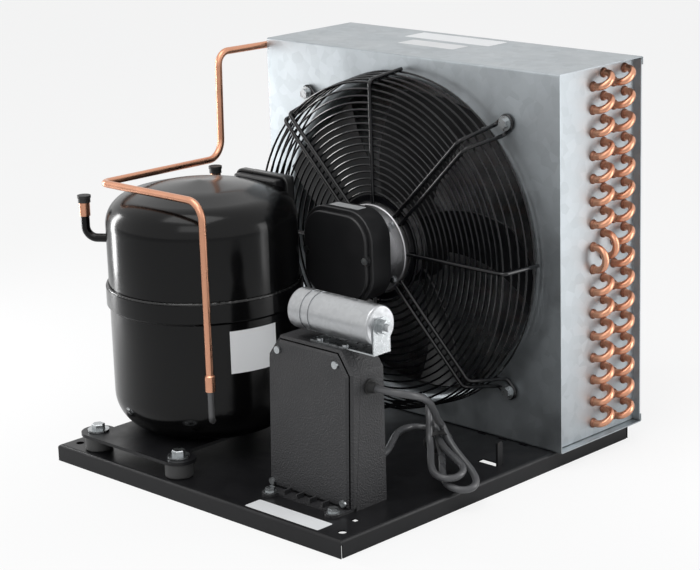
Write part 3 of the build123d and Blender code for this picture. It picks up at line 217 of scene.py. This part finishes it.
# %% World and view
scene = bpy.context.scene
scene.view_settings.view_transform = "Standard"
world = bpy.data.worlds.new("pale_room")
scene.world = world
world.use_nodes = True
room = world.node_tree
room.nodes.clear()
world_out = room.nodes.new("ShaderNodeOutputWorld")
room_light = room.nodes.new("ShaderNodeBackground")
room_shown = room.nodes.new("ShaderNodeBackground")
room_choice = room.nodes.new("ShaderNodeMixShader")
ray_kind = room.nodes.new("ShaderNodeLightPath")
room_light.inputs["Color"].default_value = (0.97, 0.985, 1.0, 1)
room_light.inputs["Strength"].default_value = 0.5
room_shown.inputs["Color"].default_value = (1, 1, 1, 1)
room_shown.inputs["Strength"].default_value = 1.0
straight_rays = room.nodes.new("ShaderNodeMath")
straight_rays.operation = "MAXIMUM"
shown_rays = room.nodes.new("ShaderNodeMath")
shown_rays.operation = "MAXIMUM"
room.links.new(ray_kind.outputs["Is Camera Ray"], straight_rays.inputs[0])
room.links.new(ray_kind.outputs["Is Transmission Ray"], straight_rays.inputs[1])
room.links.new(ray_kind.outputs["Is Glossy Ray"], shown_rays.inputs[0])
room.links.new(straight_rays.outputs[0], shown_rays.inputs[1])
room.links.new(shown_rays.outputs[0], room_choice.inputs[0])
room.links.new(room_light.outputs[0], room_choice.inputs[1])
room.links.new(room_shown.outputs[0], room_choice.inputs[2])
room.links.new(room_choice.outputs[0], world_out.inputs["Surface"])
print("room light:", room_light.inputs["Strength"].default_value)

# %% Floor
FLOOR_HALF = 14.0
FLOOR_GLOW_SHARE = 0.8


def floor_material():
    """White floor: shaded where the object shadows it, and never darker than a pale sheet far off."""
    material = bpy.data.materials.new("studio_floor")
    material.use_nodes = True
    tree = material.node_tree
    tree.nodes.clear()
    out = tree.nodes.new("ShaderNodeOutputMaterial")
    sheet = tree.nodes.new("ShaderNodeBsdfDiffuse")
    glow = tree.nodes.new("ShaderNodeEmission")
    both = tree.nodes.new("ShaderNodeMixShader")
    rays = tree.nodes.new("ShaderNodeLightPath")
    seen = tree.nodes.new("ShaderNodeMath")
    seen.operation = "MULTIPLY"
    sheet.inputs["Color"].default_value = (0.9, 0.9, 0.9, 1)
    glow.inputs["Color"].default_value = (1, 1, 1, 1)
    glow.inputs["Strength"].default_value = 1.0
    seen.inputs[1].default_value = FLOOR_GLOW_SHARE
    tree.links.new(rays.outputs["Is Camera Ray"], seen.inputs[0])
    tree.links.new(seen.outputs[0], both.inputs[0])
    tree.links.new(sheet.outputs[0], both.inputs[1])
    tree.links.new(glow.outputs[0], both.inputs[2])
    tree.links.new(both.outputs[0], out.inputs["Surface"])
    return material


floor_mesh = bpy.data.meshes.new("studio_floor")
corners = [(x * FLOOR_HALF, y * FLOOR_HALF, 0) for x, y in ((-1, -1), (1, -1), (1, 1), (-1, 1))]
floor_mesh.from_pydata(corners, [], [(0, 1, 2, 3)])
floor_mesh.materials.append(floor_material())
floor = bpy.data.objects.new("studio_floor", floor_mesh)
scene.collection.objects.link(floor)
print("floor, metres each way:", 2 * FLOOR_HALF)

# %% Lamps
LAMP_AIM = Vector((0, 0, 0.22))
SHELL_AIM = Vector((-0.108, -0.1, 0.31))


def softbox(name, aim, turn, rise, distance, width, height, power):
    """A rectangular lamp that faces a point; turn is measured as the camera's is."""
    turn, rise = math.radians(turn), math.radians(rise)
    away = Vector((math.sin(turn) * math.cos(rise), -math.cos(turn) * math.cos(rise), math.sin(rise)))
    data = bpy.data.lights.new(name, "AREA")
    data.shape = "RECTANGLE"
    data.size, data.size_y = width, height
    data.energy = power
    lamp = bpy.data.objects.new(name, data)
    lamp.location = aim + away * distance
    lamp.rotation_mode = "QUATERNION"
    lamp.rotation_quaternion = away.to_track_quat("Z", "Y")
    scene.collection.objects.link(lamp)
    return lamp


softbox("strip_left", SHELL_AIM, -76, 0, 0.85, 0.13, 0.6, 4.2)
softbox("strip_right", SHELL_AIM, 124, 0, 0.9, 0.2, 0.6, 1.5)
softbox("softbox_top", LAMP_AIM, 10, 74, 2.4, 1.8, 1.4, 22)
softbox("softbox_front", LAMP_AIM, 30, 38, 2.8, 1.2, 1.0, 7)

# %% [markdown]
# ## Shared effects
# Real surfaces are never one flat value. Zinc sheet shows large dull crystals, moulded plastic has a
# leather grain, and handled metal is shinier in some places than in others. Each of these effects is a
# small node group with named inputs, so that every finish can use it with its own values. A group gives
# out only colours, masks and heights; the shader itself stays in the material.

# %% Node group helpers
def new_group(name, inputs, outputs):
    """An empty shader group with these sockets, and its input and output nodes."""
    group = bpy.data.node_groups.new(name, "ShaderNodeTree")
    for label, kind, value in inputs:
        socket = group.interface.new_socket(name=label, in_out="INPUT", socket_type=kind)
        socket.default_value = value
    for label, kind in outputs:
        group.interface.new_socket(name=label, in_out="OUTPUT", socket_type=kind)
    return group, group.nodes.new("NodeGroupInput"), group.nodes.new("NodeGroupOutput")


def object_place(tree):
    """Texture coordinates in metres, the same for every piece."""
    return tree.nodes.new("ShaderNodeTexCoord").outputs["Object"]


def math_node(tree, operation, first, second):
    """A math node; each input is a socket or a number."""
    node = tree.nodes.new("ShaderNodeMath")
    node.operation = operation
    for socket, value in zip(node.inputs, (first, second)):
        if isinstance(value, (int, float)):
            socket.default_value = value
        else:
            tree.links.new(value, socket)
    return node.outputs[0]


def noise_node(tree, place, scale, detail=2.0):
    """Soft noise from 0 to 1."""
    node = tree.nodes.new("ShaderNodeTexNoise")
    node.inputs["Detail"].default_value = detail
    tree.links.new(place, node.inputs["Vector"])
    if isinstance(scale, (int, float)):
        node.inputs["Scale"].default_value = scale
    else:
        tree.links.new(scale, node.inputs["Scale"])
    return node.outputs["Fac"]


# %% Zinc crystals
def make_spangle_group():
    """Zinc crystals: each cell is a little lighter or darker than the next."""
    inputs = [("Scale", "NodeSocketFloat", 60.0), ("Contrast", "NodeSocketFloat", 0.12)]
    group, into, out = new_group("zinc_spangle", inputs, [("Shade", "NodeSocketFloat")])
    place = object_place(group)
    crystals = group.nodes.new("ShaderNodeTexVoronoi")
    crystals.feature = "F1"
    group.links.new(place, crystals.inputs["Vector"])
    group.links.new(into.outputs["Scale"], crystals.inputs["Scale"])
    cell = group.nodes.new("ShaderNodeSeparateColor")
    group.links.new(crystals.outputs["Color"], cell.inputs[0])
    centred = math_node(group, "SUBTRACT", cell.outputs[0], 0.5)
    swing = math_node(group, "MULTIPLY", centred, into.outputs["Contrast"])
    cloud = math_node(group, "SUBTRACT", noise_node(group, place, 9.0, 4.0), 0.5)
    cloud = math_node(group, "MULTIPLY", cloud, into.outputs["Contrast"])
    shade = math_node(group, "ADD", math_node(group, "ADD", swing, cloud), 1.0)
    group.links.new(shade, out.inputs["Shade"])
    return group


# %% Leather grain
def make_grain_group():
    """Height of a moulded leather grain."""
    inputs = [("Scale", "NodeSocketFloat", 700.0), ("Depth", "NodeSocketFloat", 1.0)]
    group, into, out = new_group("leather_grain", inputs, [("Height", "NodeSocketFloat")])
    place = object_place(group)
    cells = group.nodes.new("ShaderNodeTexVoronoi")
    cells.feature = "SMOOTH_F1"
    group.links.new(place, cells.inputs["Vector"])
    group.links.new(into.outputs["Scale"], cells.inputs["Scale"])
    fine = noise_node(group, place, into.outputs["Scale"], 3.0)
    mixed = math_node(group, "ADD", cells.outputs["Distance"], fine)
    group.links.new(math_node(group, "MULTIPLY", mixed, into.outputs["Depth"]), out.inputs["Height"])
    return group


# %% Handling wear
def make_handled_group():
    """Roughness that drifts between a rubbed and a dull value."""
    inputs = [
        ("Low", "NodeSocketFloat", 0.3),
        ("High", "NodeSocketFloat", 0.5),
        ("Scale", "NodeSocketFloat", 40.0),
    ]
    outputs = [("Roughness", "NodeSocketFloat"), ("Mask", "NodeSocketFloat")]
    group, into, out = new_group("handled_surface", inputs, outputs)
    cloud = noise_node(group, object_place(group), into.outputs["Scale"], 5.0)
    spread = group.nodes.new("ShaderNodeMapRange")
    spread.inputs["From Min"].default_value = 0.35
    spread.inputs["From Max"].default_value = 0.65
    group.links.new(cloud, spread.inputs["Value"])
    group.links.new(into.outputs["Low"], spread.inputs["To Min"])
    group.links.new(into.outputs["High"], spread.inputs["To Max"])
    group.links.new(spread.outputs["Result"], out.inputs["Roughness"])
    group.links.new(cloud, out.inputs["Mask"])
    return group


SPANGLE = make_spangle_group()
GRAIN = make_grain_group()
HANDLED = make_handled_group()
print("shared effects:", SPANGLE.name, GRAIN.name, HANDLED.name)

# %% [markdown]
# ## Finishes
# One helper makes a Principled material with its colour, metalness and polish. The colour and the polish
# can vary by a shared effect, and a grain can stand on it as a bump. Bare metal takes its colour from its
# reflections, so its base colour is bright; enamel and plastic are dark and get their life from the gloss.

# %% Finish helper
def group_node(tree, group, **values):
    node = tree.nodes.new("ShaderNodeGroup")
    node.node_tree = group
    for label, value in values.items():
        node.inputs[label].default_value = value
    return node


FINISH = {}


def add_finish(name, colour, metallic, low, high, wear_scale=40.0, grain=None, spangle=None, specular=0.5):
    """A finish whose roughness drifts from low to high."""
    material = bpy.data.materials.new(name)
    material.use_nodes = True
    tree = material.node_tree
    shader = tree.nodes["Principled BSDF"]
    shader.inputs["Metallic"].default_value = metallic
    shader.inputs["Specular IOR Level"].default_value = specular
    shader.inputs["Base Color"].default_value = (*colour, 1)
    handled = group_node(tree, HANDLED, Low=low, High=high, Scale=wear_scale)
    tree.links.new(handled.outputs["Roughness"], shader.inputs["Roughness"])
    if spangle:
        crystals = group_node(tree, SPANGLE, Scale=spangle[0], Contrast=spangle[1])
        tint = tree.nodes.new("ShaderNodeVectorMath")
        tint.operation = "SCALE"
        tint.inputs[0].default_value = colour
        tree.links.new(crystals.outputs["Shade"], tint.inputs["Scale"])
        tree.links.new(tint.outputs["Vector"], shader.inputs["Base Color"])
    if grain:
        relief = group_node(tree, GRAIN, Scale=grain[0], Depth=1.0)
        bump = tree.nodes.new("ShaderNodeBump")
        bump.inputs["Strength"].default_value = grain[1]
        bump.inputs["Distance"].default_value = grain[2]
        tree.links.new(relief.outputs["Height"], bump.inputs["Height"])
        tree.links.new(bump.outputs["Normal"], shader.inputs["Normal"])
    FINISH[name] = material


# %% The finishes
add_finish("black_enamel", (0.008, 0.008, 0.009), 0, 0.3, 0.42, specular=0.25)
add_finish("galvanised_sheet", (0.39, 0.42, 0.44), 1, 0.38, 0.5, 25, spangle=(90, 0.12))
add_finish("fin_aluminium", (0.52, 0.53, 0.54), 1, 0.35, 0.5)
add_finish("copper", (0.66, 0.33, 0.21), 1, 0.24, 0.38, 60)
add_finish("grey_steel", (0.12, 0.12, 0.122), 0.6, 0.4, 0.55)
add_finish("zinc_steel", (0.44, 0.46, 0.47), 1, 0.24, 0.4, 200)
add_finish("cast_aluminium", (0.50, 0.50, 0.51), 1, 0.3, 0.45, 120)
add_finish("black_blade", (0.008, 0.008, 0.009), 0, 0.3, 0.42, specular=0.4)
add_finish("black_wire", (0.004, 0.004, 0.005), 0, 0.14, 0.22, specular=0.4)
add_finish("black_plastic", (0.010, 0.010, 0.011), 0, 0.36, 0.46, grain=(900, 0.1, 0.0002))
add_finish("relay_plastic", (0.08, 0.08, 0.085), 0, 0.4, 0.5)
add_finish("black_shell", (0.002, 0.002, 0.0022), 0, 0.14, 0.2, 12, specular=0.24)
add_finish("grey_rubber", (0.05, 0.05, 0.05), 0, 0.5, 0.65)
add_finish("black_rubber", (0.015, 0.015, 0.015), 0, 0.5, 0.65)
add_finish("black_strip", (0.015, 0.015, 0.015), 0, 0.25, 0.35)
add_finish("winding_steel", (0.3, 0.24, 0.18), 0.7, 0.4, 0.5)
add_finish("works_iron", (0.3, 0.3, 0.3), 0.9, 0.35, 0.5)
add_finish("box_plastic", (0.026, 0.026, 0.028), 0, 0.4, 0.52, grain=(620, 0.6, 0.0009))
add_finish("can_aluminium", (0.44, 0.45, 0.46), 1, 0.28, 0.42, 150, spangle=(260, 0.10))
add_finish("collar_copper", (0.30, 0.15, 0.10), 1, 0.42, 0.6, 90)
add_finish("weld_black", (0.004, 0.004, 0.004), 0, 0.16, 0.3, 300)
add_finish("label_paper", (0.82, 0.83, 0.84), 0, 0.4, 0.5)
add_finish("label_foil", (0.66, 0.67, 0.68), 0.4, 0.3, 0.4)
add_finish("cord_grey", (0.085, 0.086, 0.09), 0, 0.26, 0.34)
print("finishes:", len(FINISH))

# %% Give every solid piece its finish
slot_of = {part["node"]: part["material_slot"] for part in frame["record"]["subparts"]}
for node_name, solid in frame["nodes"].items():
    solid.data.materials.clear()
    solid.data.materials.append(FINISH[slot_of[node_name]])
box_cord.data.materials.append(FINISH["cord_grey"])

# %% [markdown]
# ## Mesh helpers
# Bent wire and pipe are a circle carried along a line of straight runs and arcs. To carry it without a
# twist, each new circle is turned by the same small turn that the line makes there. Turned parts are a
# half outline spun round an axis. Both helpers give plain vertices and faces, so that many wires can go
# into one mesh, as the welded guard is one piece.

# %% Rounded line
ARC_STEP = math.radians(9)


def rounded_line(points, radii):
    """Points along straight runs with an arc of its own radius at each inner corner."""
    points = [Vector(p) for p in points]
    line = [points[0]]
    for before, corner, after, radius in zip(points, points[1:], points[2:], radii):
        into, out = (corner - before).normalized(), (after - corner).normalized()
        turn = into.angle(out)
        if turn < 0.02 or radius <= 0:
            line.append(corner)
            continue
        setback = radius * math.tan(turn / 2)
        start = corner - into * setback
        axis = into.cross(out).normalized()
        centre = start + axis.cross(into) * radius
        count = max(2, math.ceil(turn / ARC_STEP))
        for step in range(count + 1):
            spin = Matrix.Rotation(turn * step / count, 3, axis)
            line.append(centre + spin @ (start - centre))
    line.append(points[-1])
    return line


# %% Tube along a line
def tube_mesh(line, radius, sides=12, closed=False):
    """Vertices and faces of a round bar along a line of points."""
    line = [Vector(p) for p in line]
    count = len(line)
    tangents = []
    for index in range(count):
        before = line[index - 1] if index or closed else line[index]
        after = line[(index + 1) % count] if index < count - 1 or closed else line[index]
        tangents.append((after - before).normalized())
    side = tangents[0].orthogonal().normalized()
    verts, faces = [], []
    for index, (point, tangent) in enumerate(zip(line, tangents)):
        if index:
            side = tangents[index - 1].rotation_difference(tangent) @ side
        up = tangent.cross(side)
        for corner in range(sides):
            angle = 2 * math.pi * corner / sides
            verts.append(point + side * (radius * math.cos(angle)) + up * (radius * math.sin(angle)))
    spans = count if closed else count - 1
    for span in range(spans):
        a, b = span * sides, (span + 1) % count * sides
        for corner in range(sides):
            after = (corner + 1) % sides
            faces.append((a + corner, a + after, b + after, b + corner))
    if not closed:
        faces.append(tuple(reversed(range(sides))))
        faces.append(tuple(range((count - 1) * sides, count * sides)))
    return verts, faces


# %% Turned shapes
def turned_mesh(outline, sides=96, closed=False):
    """An outline of (radius, height) pairs spun round the Z axis."""
    verts, faces = [], []
    for radius, height in outline:
        for corner in range(sides):
            angle = 2 * math.pi * corner / sides
            verts.append(Vector((radius * math.cos(angle), radius * math.sin(angle), height)))
    rows = len(outline)
    for row in range(rows if closed else rows - 1):
        a, b = row * sides, (row + 1) % rows * sides
        for corner in range(sides):
            after = (corner + 1) % sides
            faces.append((a + corner, a + after, b + after, b + corner))
    if not closed:
        faces.append(tuple(reversed(range(sides))))
        faces.append(tuple(range((rows - 1) * sides, rows * sides)))
    return verts, faces


# %% Make a piece
SMOOTH_ANGLE = math.radians(32)


def make_piece(name, meshes, finish, body="root", stands_for=(), place=None):
    """One object from several vertex-and-face lists in millimetres, with its finish and its body."""
    verts, faces = [], []
    for part_verts, part_faces in meshes:
        start = len(verts)
        verts.extend(part_verts)
        faces.extend(tuple(start + index for index in face) for face in part_faces)
    if place is not None:
        verts = [place @ vert for vert in verts]
    mesh = bpy.data.meshes.new(name)
    mesh.from_pydata([vert * MM for vert in verts], [], faces)
    mesh.validate()
    mesh.shade_smooth()
    mesh.set_sharp_from_angle(angle=SMOOTH_ANGLE)
    mesh.materials.append(FINISH[finish])
    piece = bpy.data.objects.new(name, mesh)
    scene.collection.objects.link(piece)
    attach(piece, body)
    if stands_for:
        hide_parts(*stands_for)
    print(name, "faces:", len(mesh.polygons))
    return piece


ALONG_Y = Matrix.Rotation(math.radians(-90), 3, "X")

# %% [markdown]
# ## The wire guard
# Rings of round wire are welded behind four double arms and four single spokes. Each double arm is one
# wire: out from the hub, bent back over the rim, looped round its screw and home again. The solid model
# has rings with few sides. Here each ring has enough sides to look round, because light runs along a wire
# in one clean line.

# %% Guard sizes
FAN_AXIS = Vector((11.5, 0, 226))
GUARD_FACE_Y = 49.0
GUARD_RIM = 184.0
GUARD_FOOT = 189.0
COWL_FACE_Y = 100.0
WIRE_RADIUS = 1.2
ARM_RADIUS = 2.25
SCREW_CIRCLE = 211.0
SHIELD_RIM = 50.3
ARM_HALF_GAP = 5.5
LOOP_HALF_GAP = 7.5
LOOP_START = SCREW_CIRCLE - 12
SKIRT_DEPTH = 45.0


def wire_ring_mesh(radius, y):
    """One welded ring, round the fan's axis."""
    steps = 96
    line = []
    for step in range(steps):
        angle = 2 * math.pi * step / steps
        line.append(Vector((radius * math.cos(angle), y, radius * math.sin(angle))))
    return tube_mesh(line, WIRE_RADIUS, 8, closed=True)


# %% Guard rings and arms
RING_COUNT = 17
FIRST_RING = 62.0
SKIRT_COUNT = 4
ARM_FACE_Y = GUARD_FACE_Y - WIRE_RADIUS - ARM_RADIUS + 0.3
ARM_FOOT_Y = COWL_FACE_Y - 2.3


def guard_arm_mesh(angle):
    """A double arm with its loop, turned to its place."""
    half, loop = ARM_HALF_GAP, LOOP_HALF_GAP
    points = [
        (SHIELD_RIM, ARM_FACE_Y, -half),
        (GUARD_RIM + 2, ARM_FACE_Y, -half),
        (LOOP_START, ARM_FOOT_Y, -loop),
        (SCREW_CIRCLE + loop, ARM_FOOT_Y, -loop),
        (SCREW_CIRCLE + loop, ARM_FOOT_Y, loop),
        (LOOP_START, ARM_FOOT_Y, loop),
        (GUARD_RIM + 2, ARM_FACE_Y, half),
        (SHIELD_RIM, ARM_FACE_Y, half),
    ]
    line = rounded_line(points, [6, 6, loop - 0.4, loop - 0.4, 6, 6])
    turn = Matrix.Rotation(math.radians(angle), 3, "Y")
    return tube_mesh([turn @ p for p in line], ARM_RADIUS, 12)


def guard_spoke_mesh(angle):
    """A single spoke, bent back over the skirt rings."""
    points = [
        (SHIELD_RIM, ARM_FACE_Y, 0),
        (GUARD_RIM + 3.2, ARM_FACE_Y, 0),
        (GUARD_FOOT + 3.2, COWL_FACE_Y - 3.3, 0),
    ]
    turn = Matrix.Rotation(math.radians(angle), 3, "Y")
    return tube_mesh([turn @ p for p in rounded_line(points, [6])], ARM_RADIUS, 12)


guard_meshes = []
for ring in range(RING_COUNT):
    radius = FIRST_RING + ring * (GUARD_RIM - FIRST_RING) / (RING_COUNT - 1)
    guard_meshes.append(wire_ring_mesh(radius, GUARD_FACE_Y))
for ring in range(1, SKIRT_COUNT + 1):
    share = ring / SKIRT_COUNT
    radius = GUARD_RIM + (GUARD_FOOT - GUARD_RIM) * share + 0.4
    guard_meshes.append(wire_ring_mesh(radius, GUARD_FACE_Y + SKIRT_DEPTH * share))
for quarter in range(4):
    guard_meshes.append(guard_arm_mesh(45 + 90 * quarter))
    guard_meshes.append(guard_spoke_mesh(90 * quarter))
hub_outline = [(52, 47.8), (59, 47.8), (59, 50.3), (52, 50.3)]
hub_ring, hub_faces = turned_mesh(hub_outline, closed=True)
guard_meshes.append(([ALONG_Y @ v for v in hub_ring], hub_faces))
fan_place = Matrix.Translation(FAN_AXIS)
make_piece("wire_guard", guard_meshes, "black_wire", stands_for=["fan_guard"], place=fan_place)

# %% [markdown]
# ## The coil
# The condenser is a block of thin fins with rows of copper tube pushed through it. Each fin is a very
# thin plate, so light passes between them only straight through; that is why we model every plate rather
# than paint stripes on a block. The tubes are plain cylinders inside.

# %% Fins and tubes
COIL_X0, COIL_X1 = -194.0, 220.0
COIL_Y0, COIL_Y1 = 158.5, 230.5
COIL_Z0, COIL_Z1 = 22.0, 431.0
FIN_PITCH = 2.6
FIN_THICK = 0.3
FIRST_ROW_Y, ROW_STEP = 167.5, 18.0
FIRST_TUBE_Z, TUBE_STEP = 34.9, 25.0
ROWS, TUBES = 4, 16
TUBE_RADIUS = 4.0


def fin_mesh(x):
    """One fin: a thin plate whose front and back edges are rippled."""
    ripple = 0.25
    steps = 8
    verts, faces = [], []
    for step in range(steps + 1):
        y = COIL_Y0 + (COIL_Y1 - COIL_Y0) * step / steps
        lean = ripple if step % 2 else -ripple
        for z in (COIL_Z0, COIL_Z1):
            for thick in (0, FIN_THICK):
                verts.append(Vector((x + lean + thick, y, z)))
    for step in range(steps):
        a, b = step * 4, step * 4 + 4
        faces += [(a, b, b + 2, a + 2), (a + 1, a + 3, b + 3, b + 1)]
        faces += [(a, a + 1, b + 1, b), (a + 2, b + 2, b + 3, a + 3)]
    last = steps * 4
    faces += [(0, 2, 3, 1), (last, last + 1, last + 3, last + 2)]
    return verts, faces


def tube_centre(row, tube):
    """Where a tube passes through the fins; odd rows sit half a step higher."""
    lift = TUBE_STEP / 2 if row % 2 else 0
    return FIRST_ROW_Y + row * ROW_STEP, FIRST_TUBE_Z + tube * TUBE_STEP + lift


fin_count = int((COIL_X1 - COIL_X0 - 2) / FIN_PITCH)
fin_meshes = [fin_mesh(COIL_X0 + 1 + index * FIN_PITCH) for index in range(fin_count)]
make_piece("coil_fins", fin_meshes, "fin_aluminium", stands_for=["fin_block"])
tube_meshes = []
for row in range(ROWS):
    for tube in range(TUBES):
        y, z = tube_centre(row, tube)
        tube_meshes.append(tube_mesh([(COIL_X0, y, z), (COIL_X1, y, z)], TUBE_RADIUS + 0.4, 10))
make_piece("coil_tubes", tube_meshes, "collar_copper")

# %% [markdown]
# ## The return bends
# At the ends of the coil, U-bends carry the flow from one tube to the next. They are brazed, which leaves
# a dark collar of filler round each leg. The bends are bright copper tubes along a half circle, and the
# collars are a second piece with a duller finish, so that the two metals read apart.

# %% One bend
SHEET_RIGHT, SHEET_LEFT = 221.5, -195.5
BEND_LEG = 5.0
CROSS_TUBE = 8


def bend_line(side, start, end):
    """Centre line of a U-bend that stands on the end sheet."""
    sheet_x = SHEET_RIGHT if side > 0 else SHEET_LEFT
    foot, other = Vector((sheet_x, *start)), Vector((sheet_x, *end))
    out = Vector((side, 0, 0))
    middle, arm = (foot + other) / 2, (foot - other) / 2
    line = [foot]
    steps = 14
    for step in range(steps + 1):
        angle = math.pi * step / steps
        line.append(middle + out * BEND_LEG + arm * math.cos(angle) + out * (arm.length * math.sin(angle)))
    line.append(other)
    return line


def collar_mesh(side, place):
    """Brazed collar round one leg: a low cone with a bead."""
    outline = [(4.0, 0), (5.6, 0), (5.5, 1.2), (4.9, 2.2), (4.5, 3.0), (4.0, 3.2)]
    verts, faces = turned_mesh(outline, 20, closed=True)
    sheet_x = SHEET_RIGHT if side > 0 else SHEET_LEFT
    seat = Matrix.Translation((sheet_x, *place)) @ Matrix.Rotation(math.radians(90 * side), 4, "Y")
    return [seat @ v for v in verts], faces


def add_bend(bends, collars, side, start, end):
    bends.append(tube_mesh(bend_line(side, start, end), TUBE_RADIUS, 16))
    collars.append(collar_mesh(side, start))
    collars.append(collar_mesh(side, end))


# %% Right side: two columns of slanted bends and the change of circuit
right_bends, right_collars = [], []
for pair in (0, 2):
    for tube in range(TUBES):
        if pair == 0 and tube in (CROSS_TUBE, CROSS_TUBE - 1):
            continue
        add_bend(right_bends, right_collars, 1, tube_centre(pair, tube), tube_centre(pair + 1, tube))
for row in (0, 1):
    add_bend(right_bends, right_collars, 1, tube_centre(row, CROSS_TUBE - 1), tube_centre(row, CROSS_TUBE))
make_piece("return_bends_bright", right_bends, "copper", stands_for=["return_bends"])
make_piece("return_bend_collars", right_collars, "collar_copper")

# %% Left side: hairpins, inlet and outlet
left_bends, left_collars = [], []
for pair in (0, 2):
    for tube in range(TUBES - 1):
        add_bend(left_bends, left_collars, -1, tube_centre(pair + 1, tube), tube_centre(pair, tube + 1))
add_bend(left_bends, left_collars, -1, tube_centre(1, TUBES - 1), tube_centre(3, TUBES - 1))
add_bend(left_bends, left_collars, -1, tube_centre(0, 0), tube_centre(2, 0))
make_piece("hairpin_bends_bright", left_bends, "copper", stands_for=["hairpin_bends"])
make_piece("hairpin_collars", left_collars, "collar_copper")

# %% [markdown]
# ## The weld round the compressor
# The upper half of the shell drops into the wider rim of the lower half, and a robot lays one bead round
# the joint. A hand can feel its ripples, and at the place where the bead begins and ends it is lumpy. We
# spin a small bead round the shell and push its points out by a ripple and by noise, which is strongest
# near the overlap.

# %% Weld bead
SHELL_CENTRE = Vector((-108, -100, 0))
RIM_TOP_Z = 201.0
BEAD_START = math.radians(-38)
BEAD_RING_RADIUS = 106.1
BEAD_SIZE = 1.9


def weld_bead_mesh():
    """A rippled bead in the corner above the rim."""
    random.seed(7)
    steps, ring_steps = 360, 10
    lumps = [random.uniform(-1, 1) for _ in range(steps)]
    verts, faces = [], []
    for step in range(steps):
        angle = 2 * math.pi * step / steps
        near = max(0.0, 1 - abs((angle - BEAD_START + math.pi) % (2 * math.pi) - math.pi) / 0.35)
        swell = math.sin(step * 2.1) * 0.5 + lumps[step] * (0.35 + near)
        size = BEAD_SIZE * (1 + 0.16 * swell) + 0.5 * near
        for corner in range(ring_steps):
            turn = 2 * math.pi * corner / ring_steps
            radius = BEAD_RING_RADIUS + size * math.cos(turn)
            height = RIM_TOP_Z + 0.5 + size * math.sin(turn) + 0.25 * lumps[step] * near
            verts.append(Vector((radius * math.cos(angle), radius * math.sin(angle), height)))
    for step in range(steps):
        a, b = step * ring_steps, (step + 1) % steps * ring_steps
        for corner in range(ring_steps):
            after = (corner + 1) % ring_steps
            faces.append((a + corner, b + corner, b + after, a + after))
    return verts, faces


shell_place = Matrix.Translation(SHELL_CENTRE)
make_piece("weld_bead", [weld_bead_mesh()], "weld_black", stands_for=["seam_weld"], place=shell_place)

# %% [markdown]
# ## Labels
# Such machines carry a few paper and foil labels. Ours are bare: a label is a thin sheet with rounded
# corners, laid on a flat face or wrapped round the shell. It stands a fraction of a millimetre proud, so
# that it shows over the face that it lies on.

# %% Label helpers
LABEL_THICK = 0.18


def label_outline(width, height, corner=2.0):
    """Corner points of a sheet with small rounded corners, round its centre."""
    points = []
    for sx, sy, start in ((1, 1, 0), (-1, 1, 90), (-1, -1, 180), (1, -1, 270)):
        centre = (sx * (width / 2 - corner), sy * (height / 2 - corner))
        for step in range(5):
            angle = math.radians(start + 22.5 * step)
            points.append((centre[0] + corner * math.cos(angle), centre[1] + corner * math.sin(angle)))
    return points


def flat_label(name, centre, across, upward, width, height, finish="label_paper"):
    """A label on a flat face."""
    across, upward = Vector(across).normalized(), Vector(upward).normalized()
    normal = across.cross(upward)
    outline = label_outline(width, height)
    low = [Vector(centre) + across * a + upward * b for a, b in outline]
    high = [point + normal * LABEL_THICK for point in low]
    count = len(outline)
    faces = [tuple(reversed(range(count))), tuple(range(count, 2 * count))]
    for index in range(count):
        after = (index + 1) % count
        faces.append((index, after, count + after, count + index))
    return make_piece(name, [(low + high, faces)], finish)


def wrapped_label(name, radius, middle_angle, middle_z, width, height):
    """A label wrapped round the compressor shell."""
    columns = 24
    verts, faces = [], []
    for column in range(columns + 1):
        angle = middle_angle + (column / columns - 0.5) * width / radius
        for lift in (0.06, LABEL_THICK):
            for z in (middle_z - height / 2, middle_z + height / 2):
                reach = radius + lift
                verts.append(Vector((reach * math.cos(angle), reach * math.sin(angle), z)))
    for column in range(columns):
        a, b = column * 4, column * 4 + 4
        faces += [(a, a + 1, b + 1, b), (a + 2, b + 2, b + 3, a + 3)]
        faces += [(a, b, b + 2, a + 2), (a + 1, a + 3, b + 3, b + 1)]
    last = columns * 4
    faces += [(0, 2, 3, 1), (last, last + 1, last + 3, last + 2)]
    return make_piece(name, [(verts, faces)], "label_paper", place=shell_place)


# %% The labels
wrapped_label("shell_label", 105.0, math.radians(77.2 - 90), 146.3, 57.0, 47.0)
flat_label("cowl_label_wide", (-13, 214, 432.87), (1, 0, 0), (0, 1, 0), 128, 34)
flat_label("cowl_label_small", (-10, 172, 432.87), (1, 0, 0), (0, 1, 0), 84, 27, "label_foil")
flat_label("tray_label", (131, -213.5, 19.0), (1, 0, 0), (0, 1, 0), 106, 22)
flat_label("motor_label", (12, 6, 281.06), (1, 0, 0), (0, 1, 0), 44, 14, "label_foil")

# %% [markdown]
# ## The tie
# The spare cord is folded to and fro and held by one soft strap. The strap is a narrow band that follows
# the outside of the bundle.

# %% Cord tie
def tie_mesh():
    """A flat strap round the bundle of cord."""
    half_width, thick, steps = 3.0, 1.2, 40
    verts, faces = [], []
    for step in range(steps):
        angle = 2 * math.pi * step / steps
        aside, above = 14.6 * math.cos(angle), 11.2 * math.sin(angle)
        for grow in (0, thick):
            share = 1 + grow / 13
            for ahead in (-half_width, half_width):
                verts.append(by_tie(ahead + 2, aside * share, 2.4 + above * share))
    for step in range(steps):
        a, b = step * 4, (step + 1) % steps * 4
        for i, j in ((0, 1), (1, 3), (3, 2), (2, 0)):
            faces.append((a + i, a + j, b + j, b + i))
    return verts, faces


make_piece("cord_tie", [tie_mesh()], "black_rubber")
